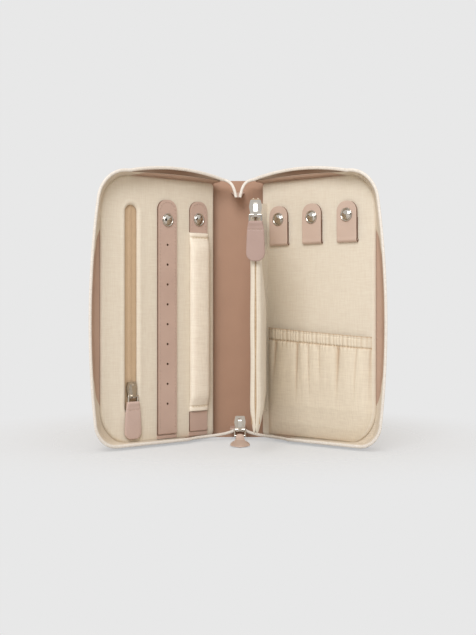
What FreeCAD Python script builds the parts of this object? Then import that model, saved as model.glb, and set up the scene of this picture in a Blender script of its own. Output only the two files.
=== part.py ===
import FreeCAD, Part
import math
import os
import Sketcher

os.makedirs("parts", exist_ok=True)
doc = FreeCAD.newDocument("jewellery_case")
sheet = doc.addObject("Spreadsheet::Sheet", "sz")
V = FreeCAD.Vector
nodes = []

# Whole case. Each half has its own frame: u runs from the fold outwards, v from the
# middle of the back towards the inside, z upwards.
case_height = 200
fold_x = 23
half_angle = 40
back_half = 1.6
fold_gap = 2
fit = 0.05

# Outline of the walls at the back and at the rim
back_reach = 109
rim_reach = 122.9
back_bow_radius = 580
rim_bow_radius = 580
bow_level = 90
corner_top = 26
corner_bottom = 19
arch_radius = 1500
arch_u = 45
bottom_lift = 2.4
flare_start = 2.2
wall_top = 17
rim_level = 22.8
wall = 1.8
leather = 1.4
back_round = 2.6
notch_u = 34
notch_v = 4

# Zip round the rim
tape_low = 17.05
tape_thickness = 0.7
tape_start = 36
coil_height = 1.5
coil_width = 1.8

# Boards, panels and what lies behind them
board_margin = 3
board_corner = 24
panel_face = 10
panel_thickness = 2.4
panel_u = 4
panel_reach = 104.4
panel_foot = 3.5
panel_head = 196.5
panel_corner = 25
bag_u = 30
bag_wall = 0.8

# Zipped pocket of the left panel
slit_u = 79.6
slit_width = 7
slit_foot = 25
slit_head = 174.7
pocket_slider_z = 35.4
cloth = 0.55
small_coil_width = 2.4
small_coil_height = 1.2

# Zip sliders, wire rings and leather pulls
slider_width = 8.8
slider_length = 12
slider_rail = 2.5
slider_plate = 1.1
slider_bridge = 2.6
wire = 0.7
wire_play = 0.08
ring_width = 8
ring_length = 5.4
pull_width = 15
pull_neck = 11.5
pull_length = 31.4
pull_thickness = 2
pull_corner = 5.5

# Snaps
cap_radius = 5
cap_height = 1.6
stud_radius = 1.5
stud_base = 3
stud_play = 0.25

# Earring strap
strap_u = 48.8
strap_width = 17
strap_thickness = 2.5
strap_head = 181
strap_hinge_z = 8
strap_snap_z = 166
hole_radius = 0.9
hole_first = 29.7
hole_pitch = 14.75
hole_count = 9
lift_off = 0.15

# Ring roll
roll_u = 19.2
roll_width = 17.5
roll_thickness = 6.6
roll_foot = 22.2
roll_head = 158
roll_round = 3
roll_top = 181.6
roll_snap_z = 168
roll_tab_width = 16.6
roll_tab_thickness = 2

# Necklace hooks
hook_u = 21.5
hook_pitch = 31
hook_width = 17
hook_foot = 148
hook_head = 178
hook_snap_z = 168
hook_back = 1.2
hook_flap = 1.4
hook_stand = 4

# Gathered pocket
gather_u = 10
gather_reach = 103.4
gather_head = 83
gather_tilt = 3
gather_hem = 9
gather_depth = 6.3
gather_wave = 0.45
gather_count = 14

# Middle pouch
page_u = 8
page_v = 22.2
page_angle = 52
page_depth = 82
page_thickness = 6.5
page_skin = 0.9
page_foot = 15
page_step = 21
page_head = 181.5
page_corner = 6
page_gap = 1.3
flange = 1.2
page_slider_z = 162

# Ends of the main zip on the spine
tip_front = 18
tip_z = 185.2
tip_head = 195.7
tip_spread = 10.6
tongue_half = 6
tongue = 1.2
main_slider_x = 1.5
main_slider_z = 6.6
main_pull_front = 64
main_pull_half = 7.2
main_pull_thickness = 1.1

# Every size above stands in the sheet under its own name
for name, number in list(vars().items()):
    if isinstance(number, (int, float)):
        row = len(sheet.getUsedCells()) + 1
        sheet.set(f"A{row}", str(number))
        sheet.setAlias(f"A{row}", name)
doc.recompute()


def value(expression):
    return float(sheet.evalExpression(expression))


def new_body(label):
    body = doc.addObject("PartDesign::Body", label)
    body.Label = label
    nodes.append(body)
    return body


def place(thing, x="0", y="0", z="0", turn="0"):
    """Stand a piece at x, y, z, turned about the vertical."""
    thing.setExpression("Placement.Base.x", x)
    thing.setExpression("Placement.Base.y", y)
    thing.setExpression("Placement.Base.z", z)
    thing.setExpression("Placement.Rotation.Angle", turn)


def place_half(thing, side):
    """Side 1 is the left half, whose inside is +y in its own frame; side -1 is the right half."""
    if side > 0:
        place(thing, x="-sz.fold_x", turn="180 + sz.half_angle")
    else:
        place(thing, x="sz.fold_x", turn="360 - sz.half_angle")


def in_half(side, u, v):
    """World x and y of the point u, v of a half."""
    x = f"sz.fold_x + ({u}) * cos(sz.half_angle) - ({v}) * sin(sz.half_angle)"
    y = f"-({u}) * sin(sz.half_angle) - ({v}) * cos(sz.half_angle)"
    if side > 0:
        x = f"-({x})"
    return x, y


def in_page(depth, across="0"):
    """World x and y of a point of the middle pouch, from its hinge."""
    x, y = in_half(-1, "sz.page_u", "sz.page_v")
    turn = "(360 - sz.half_angle - sz.page_angle)"
    x = f"{x} + ({depth}) * cos{turn} - ({across}) * sin{turn}"
    y = f"{y} + ({depth}) * sin{turn} + ({across}) * cos{turn}"
    return x, y


def new_sketch(body, plane, offset="0"):
    sketch = body.newObject("Sketcher::SketchObject", "outline")
    sketch.AttachmentSupport = [([f for f in body.Origin.OriginFeatures if f.Role == plane][0], "")]
    sketch.MapMode = "FlatFace"
    sketch.setExpression("AttachmentOffset.Base.z", offset)
    return sketch


def bind(sketch, constraint, expression):
    """Add a dimension and bind it to the sheet."""
    index = sketch.addConstraint(constraint)
    sketch.renameConstraint(index, f"d{index}")
    sketch.setExpression(f"Constraints.d{index}", expression)


def bind_point(sketch, shape, end, x, y):
    bind(sketch, Sketcher.Constraint("DistanceX", -1, 1, shape, end, value(x)), x)
    bind(sketch, Sketcher.Constraint("DistanceY", -1, 1, shape, end, value(y)), y)


def arc(centre, start, end):
    """Anticlockwise arc about a centre between two points."""
    a = math.atan2(start.y - centre.y, start.x - centre.x)
    b = math.atan2(end.y - centre.y, end.x - centre.x)
    if b < a:
        b += 2 * math.pi
    return Part.ArcOfCircle(Part.Circle(centre, V(0, 0, 1), (start - centre).Length), a, b)


def polygon(sketch, corners):
    """Closed outline with corners x, y, radius, given anticlockwise; radius "0" stays sharp."""
    points = [V(value(x), value(y), 0) for x, y, r in corners]
    count = len(points)
    enter = []
    leave = []
    middle = []
    for i in range(count):
        back = (points[i - 1] - points[i]).normalize()
        ahead = (points[(i + 1) % count] - points[i]).normalize()
        half = back.getAngle(ahead) / 2
        radius = value(corners[i][2])
        enter.append(points[i] + back * (radius / math.tan(half)))
        leave.append(points[i] + ahead * (radius / math.tan(half)))
        middle.append(points[i] + (back + ahead).normalize() * (radius / math.sin(half)))
    lines = []
    for i in range(count):
        lines.append(sketch.addGeometry(Part.LineSegment(leave[i], enter[(i + 1) % count])))
    for i in range(count):
        x, y, r = corners[i]
        before = lines[i - 1]
        after = lines[i]
        if value(r) == 0:
            sketch.addConstraint(Sketcher.Constraint("Coincident", before, 2, after, 1))
            bind_point(sketch, after, 1, x, y)
            continue
        turn = (points[i] - points[i - 1]).cross(points[(i + 1) % count] - points[i]).z
        first, last = (enter[i], leave[i]) if turn > 0 else (leave[i], enter[i])
        bend = sketch.addGeometry(arc(middle[i], first, last))
        mark = sketch.addGeometry(Part.Point(points[i]), True)
        bind_point(sketch, mark, 1, x, y)
        sketch.addConstraint(Sketcher.Constraint("PointOnObject", mark, 1, before))
        sketch.addConstraint(Sketcher.Constraint("PointOnObject", mark, 1, after))
        sketch.addConstraint(Sketcher.Constraint("Tangent", before, 2, bend, 1 if turn > 0 else 2))
        sketch.addConstraint(Sketcher.Constraint("Tangent", bend, 2 if turn > 0 else 1, after, 1))
        bind(sketch, Sketcher.Constraint("Radius", bend, value(r)), r)


def rectangle(sketch, x0, y0, x1, y1, radius="0"):
    polygon(sketch, [(x0, y0, radius), (x1, y0, radius), (x1, y1, radius), (x0, y1, radius)])


def circle(sketch, x, y, radius):
    ring = sketch.addGeometry(Part.Circle(V(value(x), value(y), 0), V(0, 0, 1), value(radius)))
    bind_point(sketch, ring, 3, x, y)
    bind(sketch, Sketcher.Constraint("Radius", ring, value(radius)), radius)


def pad(body, sketch, length, flip=False, both=False):
    feature = body.newObject("PartDesign::Pad", "pad")
    feature.Profile = sketch
    feature.setExpression("Length", length)
    feature.Reversed = flip
    feature.Midplane = both
    doc.recompute()
    return feature


def cut(body, sketch, length, flip=False, both=False):
    """Pocket; it has to take something away."""
    before = body.Tip.Shape.Volume
    feature = body.newObject("PartDesign::Pocket", "cut")
    feature.Profile = sketch
    feature.setExpression("Length", length)
    feature.Reversed = flip
    feature.Midplane = both
    doc.recompute()
    if not feature.Shape.Volume < before - 0.01:
        raise ValueError(f"{body.Label}: the cut takes nothing away")
    return feature


def fillet(body, radius, wanted):
    """Round the edges of the tip that the test picks."""
    base = body.Tip
    edges = [f"Edge{i + 1}" for i, edge in enumerate(base.Shape.Edges) if wanted(edge)]
    feature = body.newObject("PartDesign::Fillet", "rounded")
    feature.Base = (base, edges)
    feature.setExpression("Radius", radius)
    doc.recompute()
    return feature


def turned(body, u, z, side, corners):
    """Turned piece whose axis stands on a half at u, z; corners give radius and v."""
    sketch = new_sketch(body, "XY_Plane", z)
    sketch.setExpression("AttachmentOffset.Base.x", u)
    points = [(x, f"{side} * ({v})", r) for x, v, r in corners]
    polygon(sketch, points if side > 0 else points[::-1])
    feature = body.newObject("PartDesign::Revolution", "turned")
    feature.Profile = sketch
    feature.ReferenceAxis = (sketch, ["V_Axis"])
    feature.Angle = 360
    doc.recompute()
    return feature


def half_sketch(body, side, v):
    """Sketch over u and z at the height v of a half."""
    return new_sketch(body, "XZ_Plane", f"-{side} * ({v})")


def plate(label, side, corners, v, thickness):
    """Flat piece of a half, from v towards the inside."""
    body = new_body(label)
    sketch = half_sketch(body, side, v)
    polygon(sketch, corners)
    pad(body, sketch, thickness, flip=side > 0)
    place_half(body, side)
    return body


def sunk(body, side, v, thickness, draw):
    """Take a shape out of a flat piece of a half, from v towards the inside."""
    sketch = half_sketch(body, side, v)
    draw(sketch)
    return cut(body, sketch, thickness, flip=side < 0)


def box(label, x, y, z, length, width, height):
    thing = doc.addObject("Part::Box", label)
    thing.Label = label
    thing.setExpression("Length", length)
    thing.setExpression("Width", width)
    thing.setExpression("Height", height)
    place(thing, x, y, z)
    nodes.append(thing)
    return thing


# Tray outline and shells


def tray_outline(sketch, level, inset, start_foot, start_head):
    """Outline of a half at the height level, inset from the outside of its walls.

    The fore edge is one long arc that bows more towards the rim, the top is a flat arch,
    and the bottom lifts towards the rim.
    """
    flare = f"(({level}) - sz.flare_start) / (sz.rim_level - sz.flare_start)"
    if value(level) <= value("sz.flare_start"):
        flare = "0"
    bow = f"1 / ((1 - {flare}) / sz.back_bow_radius + {flare} / sz.rim_bow_radius) - ({inset})"
    reach = f"sz.back_reach + (sz.rim_reach - sz.back_reach) * {flare} - ({inset})"
    foot = f"sz.bottom_lift * {flare} + {inset}"
    arch = f"sz.arch_radius - ({inset})"
    low = f"sz.corner_bottom - ({inset})"
    high = f"sz.corner_top - ({inset})"
    fore = V(value(reach) - value(bow), value("sz.bow_level"), 0)
    roof = V(value("sz.arch_u"), value("sz.case_height - sz.arch_radius"), 0)
    r_low = value(low)
    r_high = value(high)
    r_fore = value(bow)
    r_roof = value(arch)
    z0 = value(foot)
    rise = z0 + r_low - fore.y
    c_low = V(fore.x + math.sqrt((r_fore - r_low) ** 2 - rise ** 2), z0 + r_low, 0)
    gap = roof - fore
    span = gap.Length
    along = (span ** 2 + (r_fore - r_high) ** 2 - (r_roof - r_high) ** 2) / (2 * span)
    off = math.sqrt((r_fore - r_high) ** 2 - along ** 2)
    axis = V(gap.x / span, gap.y / span, 0)
    c_high = fore + axis * along + V(-axis.y, axis.x, 0) * off
    start = V(value(start_foot), z0, 0)
    p_low = V(c_low.x, z0, 0)
    p_fore = fore + (c_low - fore).normalize() * r_fore
    p_high = fore + (c_high - fore).normalize() * r_fore
    p_roof = roof + (c_high - roof).normalize() * r_roof
    u_end = value(start_head)
    end = V(u_end, roof.y + math.sqrt(r_roof ** 2 - (u_end - roof.x) ** 2), 0)
    sketch.addGeometry(Part.LineSegment(start, p_low))
    sketch.addGeometry(arc(c_low, p_low, p_fore))
    sketch.addGeometry(arc(fore, p_fore, p_high))
    sketch.addGeometry(arc(c_high, p_high, p_roof))
    sketch.addGeometry(arc(roof, p_roof, end))
    sketch.addGeometry(Part.LineSegment(end, start))
    sketch.addConstraint(Sketcher.Constraint("Horizontal", 0))
    for i in range(4):
        sketch.addConstraint(Sketcher.Constraint("Tangent", i, 2, i + 1, 1))
    sketch.addConstraint(Sketcher.Constraint("Coincident", 4, 2, 5, 1))
    sketch.addConstraint(Sketcher.Constraint("Coincident", 5, 2, 0, 1))
    bind_point(sketch, 0, 1, start_foot, foot)
    bind(sketch, Sketcher.Constraint("Radius", 1, r_low), low)
    bind(sketch, Sketcher.Constraint("Radius", 2, r_fore), bow)
    bind(sketch, Sketcher.Constraint("Radius", 3, r_high), high)
    bind(sketch, Sketcher.Constraint("Radius", 4, r_roof), arch)
    bind_point(sketch, 2, 3, f"{reach} - ({bow})", "sz.bow_level")
    bind_point(sketch, 4, 3, "sz.arch_u", "sz.case_height - sz.arch_radius")
    bind(sketch, Sketcher.Constraint("DistanceX", -1, 1, 4, 2, u_end), start_head)


def tray_loft(body, side, kind, levels, inset, start_foot, start_head):
    sketches = []
    for level in levels:
        sketch = half_sketch(body, side, level)
        tray_outline(sketch, level, inset, start_foot, start_head)
        sketches.append(sketch)
    doc.recompute()
    feature = body.newObject(f"PartDesign::{kind}Loft", "walls")
    feature.Profile = sketches[0]
    feature.Sections = sketches[1:]
    feature.Ruled = True
    doc.recompute()
    return feature


def cover(label, side):
    """Leather shell of a half: back, rounded edge and bowed wall."""
    body = new_body(label)
    outline = half_sketch(body, side, "-sz.back_half")
    tray_outline(outline, "-sz.back_half", "0", "sz.fold_gap", "sz.fold_gap")
    pad(body, outline, "sz.flare_start + sz.back_half", flip=side > 0)
    back = -side * value("sz.back_half")
    edge_u = value("sz.fold_gap")

    def round_back(edge):
        ends = [vertex.Point for vertex in edge.Vertexes]
        on_back = all(abs(point.y - back) < 0.01 for point in ends)
        return on_back and not all(abs(point.x - edge_u) < 0.01 for point in ends)

    fillet(body, "sz.back_round", round_back)
    flare = ["sz.flare_start", "sz.wall_top"]
    tray_loft(body, side, "Additive", flare, "0", "sz.fold_gap", "sz.fold_gap")
    floor = "sz.leather - sz.back_half"
    inside = half_sketch(body, side, floor)
    tray_outline(inside, floor, "sz.wall", "sz.fold_gap - 4", "sz.fold_gap - 4")
    cut(body, inside, f"sz.flare_start - ({floor})", flip=side < 0)
    flare = ["sz.flare_start", "sz.wall_top + 1"]
    tray_loft(body, side, "Subtractive", flare, "sz.wall", "sz.fold_gap - 4", "sz.fold_gap - 4")
    notch = new_sketch(body, "XY_Plane", "-1")
    corners = []
    corners.append(("-1", f"{side} * sz.notch_v", "0"))
    corners.append(("sz.fold_gap + 1", f"{side} * sz.notch_v", "8"))
    corners.append(("sz.notch_u", f"{side} * sz.rim_level", "0"))
    corners.append(("-1", f"{side} * sz.rim_level", "0"))
    polygon(notch, corners if side > 0 else corners[::-1])
    cut(body, notch, "sz.corner_bottom / 2", flip=True)
    place_half(body, side)
    return body


def rim_ring(label, side, low, high, outer, inner):
    """Strip that follows the wall round three sides of a half."""
    body = new_body(label)
    tray_loft(body, side, "Additive", [low, high], outer, "sz.tape_start", "sz.fold_gap + 1")
    past = [f"({low}) - 0.2 * (({high}) - ({low}))", f"({high}) + 0.2 * (({high}) - ({low}))"]
    tray_loft(body, side, "Subtractive", past, inner, "sz.tape_start - 5", "sz.fold_gap - 4")
    place_half(body, side)
    return body


def half_case(name, side):
    """Cover, board, rim zip and lined panel of one half."""
    cover(f"{name}_cover", side)
    board = []
    board.append(("sz.fold_gap + 0.5", "sz.board_margin", "0"))
    board.append(("sz.back_reach - 3 * sz.board_margin", "sz.board_margin", "sz.board_corner"))
    board_head = "sz.case_height - sz.board_margin"
    board.append(("sz.back_reach - 3 * sz.board_margin", board_head, "sz.board_corner"))
    board.append(("sz.fold_gap + 0.5", board_head, "0"))
    board_v = "sz.leather - sz.back_half + sz.fit"
    plate(f"{name}_cover_board", side, board, board_v, "2 * sz.back_half - sz.leather - 2 * sz.fit")
    tape = "0"
    coil = "sz.rim_level - sz.coil_height"
    rim_ring(f"{name}_zip_tape", side, "sz.tape_low", f"{coil} - sz.fit", tape, f"{tape} + sz.tape_thickness")
    coil_out = f"{tape} + sz.tape_thickness / 2 - sz.coil_width / 2"
    rim_ring(f"{name}_zip_coil", side, coil, "sz.rim_level", coil_out, f"{coil_out} + sz.coil_width")
    panel = []
    panel.append(("sz.panel_u", "sz.panel_foot", "2"))
    panel.append(("sz.panel_reach", "sz.panel_foot", "sz.panel_corner"))
    panel.append(("sz.panel_reach", "sz.panel_head", "sz.panel_corner"))
    panel.append(("sz.panel_u", "sz.panel_head", "2"))
    return plate(f"{name}_panel", side, panel, "sz.panel_face - sz.panel_thickness", "sz.panel_thickness")


def strip(centre, width, foot, head, radius):
    """Upright strip with two rounded corners at its head."""
    x0 = f"{centre} - {width} / 2"
    x1 = f"{centre} + {width} / 2"
    return [(x0, foot, "0"), (x1, foot, "0"), (x1, head, radius), (x0, head, radius)]


def across(edge):
    """True for an edge that runs along u."""
    ends = [vertex.Point for vertex in edge.Vertexes]
    return len(ends) == 2 and abs(ends[0].x - ends[1].x) > 3 and (ends[0] - ends[1]).Length < 1000


def level_edges(z):
    """Picks the edges along u at one height."""

    def wanted(edge):
        return across(edge) and all(abs(vertex.Point.z - value(z)) < 0.01 for vertex in edge.Vertexes)

    return wanted


def snap_cap(label, side, u, z, v):
    body = new_body(label)
    corners = []
    corners.append(("0", v, "0"))
    corners.append(("sz.cap_radius", v, "0"))
    corners.append(("sz.cap_radius", f"{v} + 0.7 * sz.cap_height", "0.6"))
    corners.append(("0", f"{v} + sz.cap_height", "0"))
    turned(body, u, z, side, corners)
    place_half(body, side)
    return body


def snap_stud(body, side, u, z, base, face, top):
    """Stud with a wide base from base to face and a post up to top."""
    corners = []
    corners.append(("0", base, "0"))
    corners.append(("sz.stud_base", base, "0"))
    corners.append(("sz.stud_base", face, "0"))
    corners.append(("sz.stud_radius", face, "0"))
    corners.append(("sz.stud_radius", top, "0.3"))
    corners.append(("0", top, "0"))
    turned(body, u, z, side, corners)
    place_half(body, side)
    return body


# Spine

spine = new_body("spine_leather")
section = new_sketch(spine, "XY_Plane")
section.addGeometry(arc(V(value("-sz.fold_x"), 0, 0), V(value("-sz.fold_x"), value("sz.back_half"), 0),
                        V(value("-sz.fold_x"), value("-sz.back_half"), 0)))
section.addGeometry(arc(V(value("sz.fold_x"), 0, 0), V(value("sz.fold_x"), value("-sz.back_half"), 0),
                        V(value("sz.fold_x"), value("sz.back_half"), 0)))
section.addGeometry(Part.LineSegment(V(value("-sz.fold_x"), value("-sz.back_half"), 0),
                                     V(value("sz.fold_x"), value("-sz.back_half"), 0)))
section.addGeometry(Part.LineSegment(V(value("sz.fold_x"), value("sz.back_half"), 0),
                                     V(value("-sz.fold_x"), value("sz.back_half"), 0)))
section.addConstraint(Sketcher.Constraint("Tangent", 0, 2, 2, 1))
section.addConstraint(Sketcher.Constraint("Tangent", 2, 2, 1, 1))
section.addConstraint(Sketcher.Constraint("Tangent", 1, 2, 3, 1))
section.addConstraint(Sketcher.Constraint("Tangent", 3, 2, 0, 1))
bind_point(section, 0, 3, "-sz.fold_x", "0")
bind(section, Sketcher.Constraint("DistanceX", -1, 1, 1, 3, value("sz.fold_x")), "sz.fold_x")
bind(section, Sketcher.Constraint("Radius", 0, value("sz.back_half")), "sz.back_half")
slot = "(2 * sz.back_half - sz.leather) / 2"
pad(spine, section, "sz.case_height")
hollow = new_sketch(spine, "XY_Plane", "sz.board_margin")
rectangle(hollow, "-(sz.fold_x - 3)", f"-{slot}", "sz.fold_x - 3", slot)
cut(spine, hollow, "sz.case_height", flip=True)
board_half = f"({slot} - sz.fit)"
box("spine_board", "-(sz.fold_x - 3 - sz.fit)", f"-{board_half}", "sz.board_margin + sz.fit",
    "2 * (sz.fold_x - 3 - sz.fit)", f"2 * {board_half}", "sz.case_height - 2 * sz.board_margin")

# Top zip end: the tape ends meet in a V that hangs from the rim
tip = new_body("zip_end_top")
vee = new_sketch(tip, "XZ_Plane", "sz.tip_front - sz.tape_thickness")
corners = []
corners.append(("-2", "sz.tip_z", "0"))
corners.append(("2", "sz.tip_z", "0"))
corners.append(("sz.tip_spread", "sz.tip_head", "0"))
corners.append(("sz.tip_spread - 4", "sz.tip_head", "0"))
corners.append(("0", "sz.tip_z + 4.5", "1"))
corners.append(("-(sz.tip_spread - 4)", "sz.tip_head", "0"))
corners.append(("-sz.tip_spread", "sz.tip_head", "0"))
polygon(vee, corners)
pad(tip, vee, "sz.tape_thickness")
box("zip_tongue_top", "-sz.tongue_half", "-sz.tip_front", "sz.tip_z - sz.fit - sz.tongue",
    "2 * sz.tongue_half", "sz.tip_front - sz.back_half - sz.fit", "sz.tongue")

# Bottom zip end: the tape ends rise from the floor to the parked slider
root = new_body("zip_end_bottom")
vee = new_sketch(root, "XZ_Plane", "sz.tip_front - sz.tape_thickness")
corners = []
corners.append(("-sz.tip_spread", "sz.bottom_lift + 1", "0"))
corners.append(("-(sz.tip_spread - 5)", "sz.bottom_lift + 1", "0"))
corners.append(("sz.main_slider_x", "sz.main_slider_z", "2"))
corners.append(("sz.tip_spread - 5", "sz.bottom_lift + 1", "0"))
corners.append(("sz.tip_spread", "sz.bottom_lift + 1", "0"))
corners.append(("sz.main_slider_x + 2.5", "sz.main_slider_z + 8", "1"))
corners.append(("sz.main_slider_x - 2.5", "sz.main_slider_z + 8", "1"))
polygon(vee, corners)
pad(root, vee, "sz.tape_thickness")
box("zip_tongue_bottom", "-sz.tongue_half", "-(sz.tip_front - sz.tape_thickness - sz.fit)",
    "sz.main_slider_z + 1", "2 * sz.tongue_half",
    "sz.tip_front - sz.tape_thickness - sz.back_half - 2 * sz.fit", "sz.tongue")


# Zip sliders: the slider's own frame has z along the zip and -y away from the tape

bar_y = "(sz.slider_rail + sz.slider_plate + sz.wire + 0.6)"
bar_z = "(sz.wire + 0.9)"


def slider(label, x, y, z, turn):
    """Slider body with two rails beside the coil, a shield plate and a bridge with an eye."""
    body = new_body(label)
    shield = new_sketch(body, "XZ_Plane", "sz.slider_rail")
    corners = []
    corners.append(("-sz.slider_width * 0.36", "0", "1"))
    corners.append(("sz.slider_width * 0.36", "0", "1"))
    corners.append(("sz.slider_width / 2", "sz.slider_length * 0.6", "2"))
    corners.append(("sz.slider_width * 0.4", "sz.slider_length", "1"))
    corners.append(("-sz.slider_width * 0.4", "sz.slider_length", "1"))
    corners.append(("-sz.slider_width / 2", "sz.slider_length * 0.6", "2"))
    polygon(shield, corners)
    pad(body, shield, "sz.slider_plate")
    rails = new_sketch(body, "XZ_Plane")
    inner = "(sz.small_coil_width / 2 + 0.4)"
    outer = "(sz.slit_width / 2 - 0.35)"
    rectangle(rails, inner, "0.8", outer, "sz.slider_length - 0.8")
    rectangle(rails, f"-{outer}", "0.8", f"-{inner}", "sz.slider_length - 0.8")
    pad(body, rails, "sz.slider_rail + 0.2")
    bridge = new_sketch(body, "YZ_Plane")
    face = "(sz.slider_rail + sz.slider_plate - 0.1)"
    peak = f"({bar_y} + sz.wire + 0.7)"
    corners = []
    corners.append((f"-{peak}", "0", "0.8"))
    corners.append((f"-{face}", "0", "0"))
    corners.append((f"-{face}", "sz.slider_length - 1.5", "0"))
    corners.append((f"-{peak} + 1", "sz.slider_length - 3", "1.5"))
    corners.append((f"-{peak}", f"{bar_z} + 2.4", "1.5"))
    polygon(bridge, corners)
    pad(body, bridge, "sz.slider_bridge", both=True)
    eye = new_sketch(body, "YZ_Plane")
    circle(eye, f"-{bar_y}", bar_z, "sz.wire + sz.wire_play")
    cut(body, eye, "sz.slider_bridge + 1", both=True)
    place(body, x, y, z, turn)
    return body


def rod(radius, length, x, z, upright):
    """Piece of wire: upright, or along x."""
    thing = doc.addObject("Part::Cylinder", "rod")
    thing.setExpression("Radius", radius)
    thing.setExpression("Height", length)
    if not upright:
        thing.Placement.Rotation = FreeCAD.Rotation(V(0, 1, 0), 90)
    thing.setExpression("Placement.Base.x", x)
    thing.setExpression("Placement.Base.z", z)
    return thing


def knot(x, z):
    thing = doc.addObject("Part::Sphere", "bend")
    thing.setExpression("Radius", "sz.wire")
    thing.setExpression("Placement.Base.x", x)
    thing.setExpression("Placement.Base.z", z)
    return thing


def wire_ring(label):
    """Oblong wire ring that hangs from its upper bar, which lies on the x axis."""
    half = "sz.ring_width / 2"
    drop = "-sz.ring_length"
    rods = []
    rods.append(rod("sz.wire", "sz.ring_width", f"-{half}", "0", False))
    rods.append(rod("sz.wire", "sz.ring_width", f"-{half}", drop, False))
    rods.append(rod("sz.wire", "sz.ring_length", f"-{half}", drop, True))
    rods.append(rod("sz.wire", "sz.ring_length", half, drop, True))
    rods.append(knot(f"-{half}", "0"))
    rods.append(knot(half, "0"))
    rods.append(knot(f"-{half}", drop))
    rods.append(knot(half, drop))
    ring = doc.addObject("Part::MultiFuse", label)
    ring.Label = label
    ring.Shapes = rods
    nodes.append(ring)
    doc.recompute()
    return ring


loop_radius = "(sz.wire + 0.8)"
loop_half = "(sz.ring_width / 2 - sz.wire - 0.2)"


def pull(label):
    """Leather pull folded round the lower bar of its ring; its frame is the ring's."""
    body = new_body(label)
    tab = new_sketch(body, "XZ_Plane")
    corners = []
    corners.append((f"-{loop_half}", "-sz.ring_length", "0"))
    corners.append(("-sz.pull_neck / 2", "-sz.ring_length - 3.5", "2"))
    corners.append(("-sz.pull_width / 2", "-sz.ring_length - 8", "3"))
    corners.append(("-sz.pull_width / 2", "-sz.pull_length", "sz.pull_corner"))
    corners.append(("sz.pull_width / 2", "-sz.pull_length", "sz.pull_corner"))
    corners.append(("sz.pull_width / 2", "-sz.ring_length - 8", "3"))
    corners.append(("sz.pull_neck / 2", "-sz.ring_length - 3.5", "2"))
    corners.append((loop_half, "-sz.ring_length", "0"))
    polygon(tab, corners)
    pad(body, tab, "sz.pull_thickness", both=True)
    loop = new_sketch(body, "YZ_Plane")
    circle(loop, "0", "-sz.ring_length", loop_radius)
    pad(body, loop, f"2 * {loop_half}", both=True)
    eye = new_sketch(body, "YZ_Plane")
    circle(eye, "0", "-sz.ring_length", "sz.wire + sz.wire_play")
    cut(body, eye, f"2 * {loop_half} + 1", both=True)
    return body


def hang(thing, x, y, z, turn):
    """Hang a ring or pull from the eye of the slider that stands at x, y, z."""
    place(thing, f"{x} + {bar_y} * sin({turn})", f"{y} - {bar_y} * cos({turn})", f"{z} + {bar_z}", turn)


# Main slider, parked at the foot of the spine

main_y = "-(sz.tip_front + sz.fit)"
slider("main_slider", "sz.main_slider_x", main_y, "sz.main_slider_z", "0")
ring = wire_ring("main_ring")
lean = math.degrees(math.atan2(4.1, 3.5))
ring.Placement = FreeCAD.Placement(V(0, 0, 0), FreeCAD.Rotation(V(1, 0, 0), lean - 90))
ring.setExpression("Placement.Base.x", "sz.main_slider_x")
ring.setExpression("Placement.Base.y", f"{main_y} - {bar_y}")
ring.setExpression("Placement.Base.z", f"sz.main_slider_z + {bar_z}")

# Its pull slopes down to the floor and lies there
drape = new_body("main_pull")
loop_y = f"({main_y} - {bar_y} - 0.65 * sz.ring_length)"
loop_z = f"(sz.main_slider_z + {bar_z} - 0.76 * sz.ring_length)"
rest_z = "0.1"
profile = new_sketch(drape, "YZ_Plane")
corners = []
corners.append(("-sz.main_pull_front", rest_z, "0"))
corners.append((f"{loop_y} - 6.2", rest_z, "3"))
corners.append((loop_y, f"{loop_z} - 0.3", "0"))
corners.append((loop_y, f"{loop_z} + 0.9", "0"))
corners.append((f"{loop_y} - 6.4", f"{rest_z} + sz.main_pull_thickness", "3"))
corners.append(("-sz.main_pull_front", f"{rest_z} + sz.main_pull_thickness", "0"))
polygon(profile, corners)
pad(drape, profile, "2 * sz.main_pull_half", both=True)
loop = new_sketch(drape, "YZ_Plane")
circle(loop, loop_y, loop_z, loop_radius)
pad(drape, loop, f"2 * {loop_half}", both=True)
eye = new_sketch(drape, "YZ_Plane")
circle(eye, loop_y, loop_z, "sz.wire + sz.wire_play")
cut(drape, eye, f"2 * {loop_half} + 1", both=True)
bell = new_sketch(drape, "XY_Plane")
far = "sz.main_pull_half + 1"
for sign in (1, -1):
    corners = []
    corners.append((f"{sign} * ({far})", f"{loop_y} + 3", "0"))
    corners.append((f"{sign} * {loop_half}", f"{loop_y} + 3", "0"))
    corners.append((f"{sign} * {loop_half}", f"{loop_y} - 2", "2"))
    corners.append((f"{sign} * (sz.main_pull_half - 2)", f"{loop_y} - 14", "20"))
    corners.append((f"{sign} * sz.main_pull_half", "4 - sz.main_pull_front", "0"))
    corners.append((f"{sign} * (sz.main_pull_half - 3)", "-sz.main_pull_front - 0.5", "0"))
    corners.append((f"{sign} * ({far})", "-sz.main_pull_front - 0.5", "0"))
    polygon(bell, corners if sign > 0 else corners[::-1])
cut(drape, bell, "20", flip=True)
place(drape, "sz.main_slider_x")

# Left half: zipped pocket

left_panel = half_case("left", 1)
sunk(left_panel, 1, "sz.panel_face - sz.panel_thickness", "sz.panel_thickness",
     lambda sketch: rectangle(sketch, "sz.slit_u - sz.slit_width / 2", "sz.slit_foot",
                              "sz.slit_u + sz.slit_width / 2", "sz.slit_head", "1.5"))
for u, z in (("sz.strap_u", "sz.strap_snap_z"), ("sz.roll_u", "sz.roll_snap_z")):
    sunk(left_panel, 1, "sz.panel_face - 0.8", "0.8",
         lambda sketch: circle(sketch, u, z, "sz.stud_base + sz.fit"))

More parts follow.
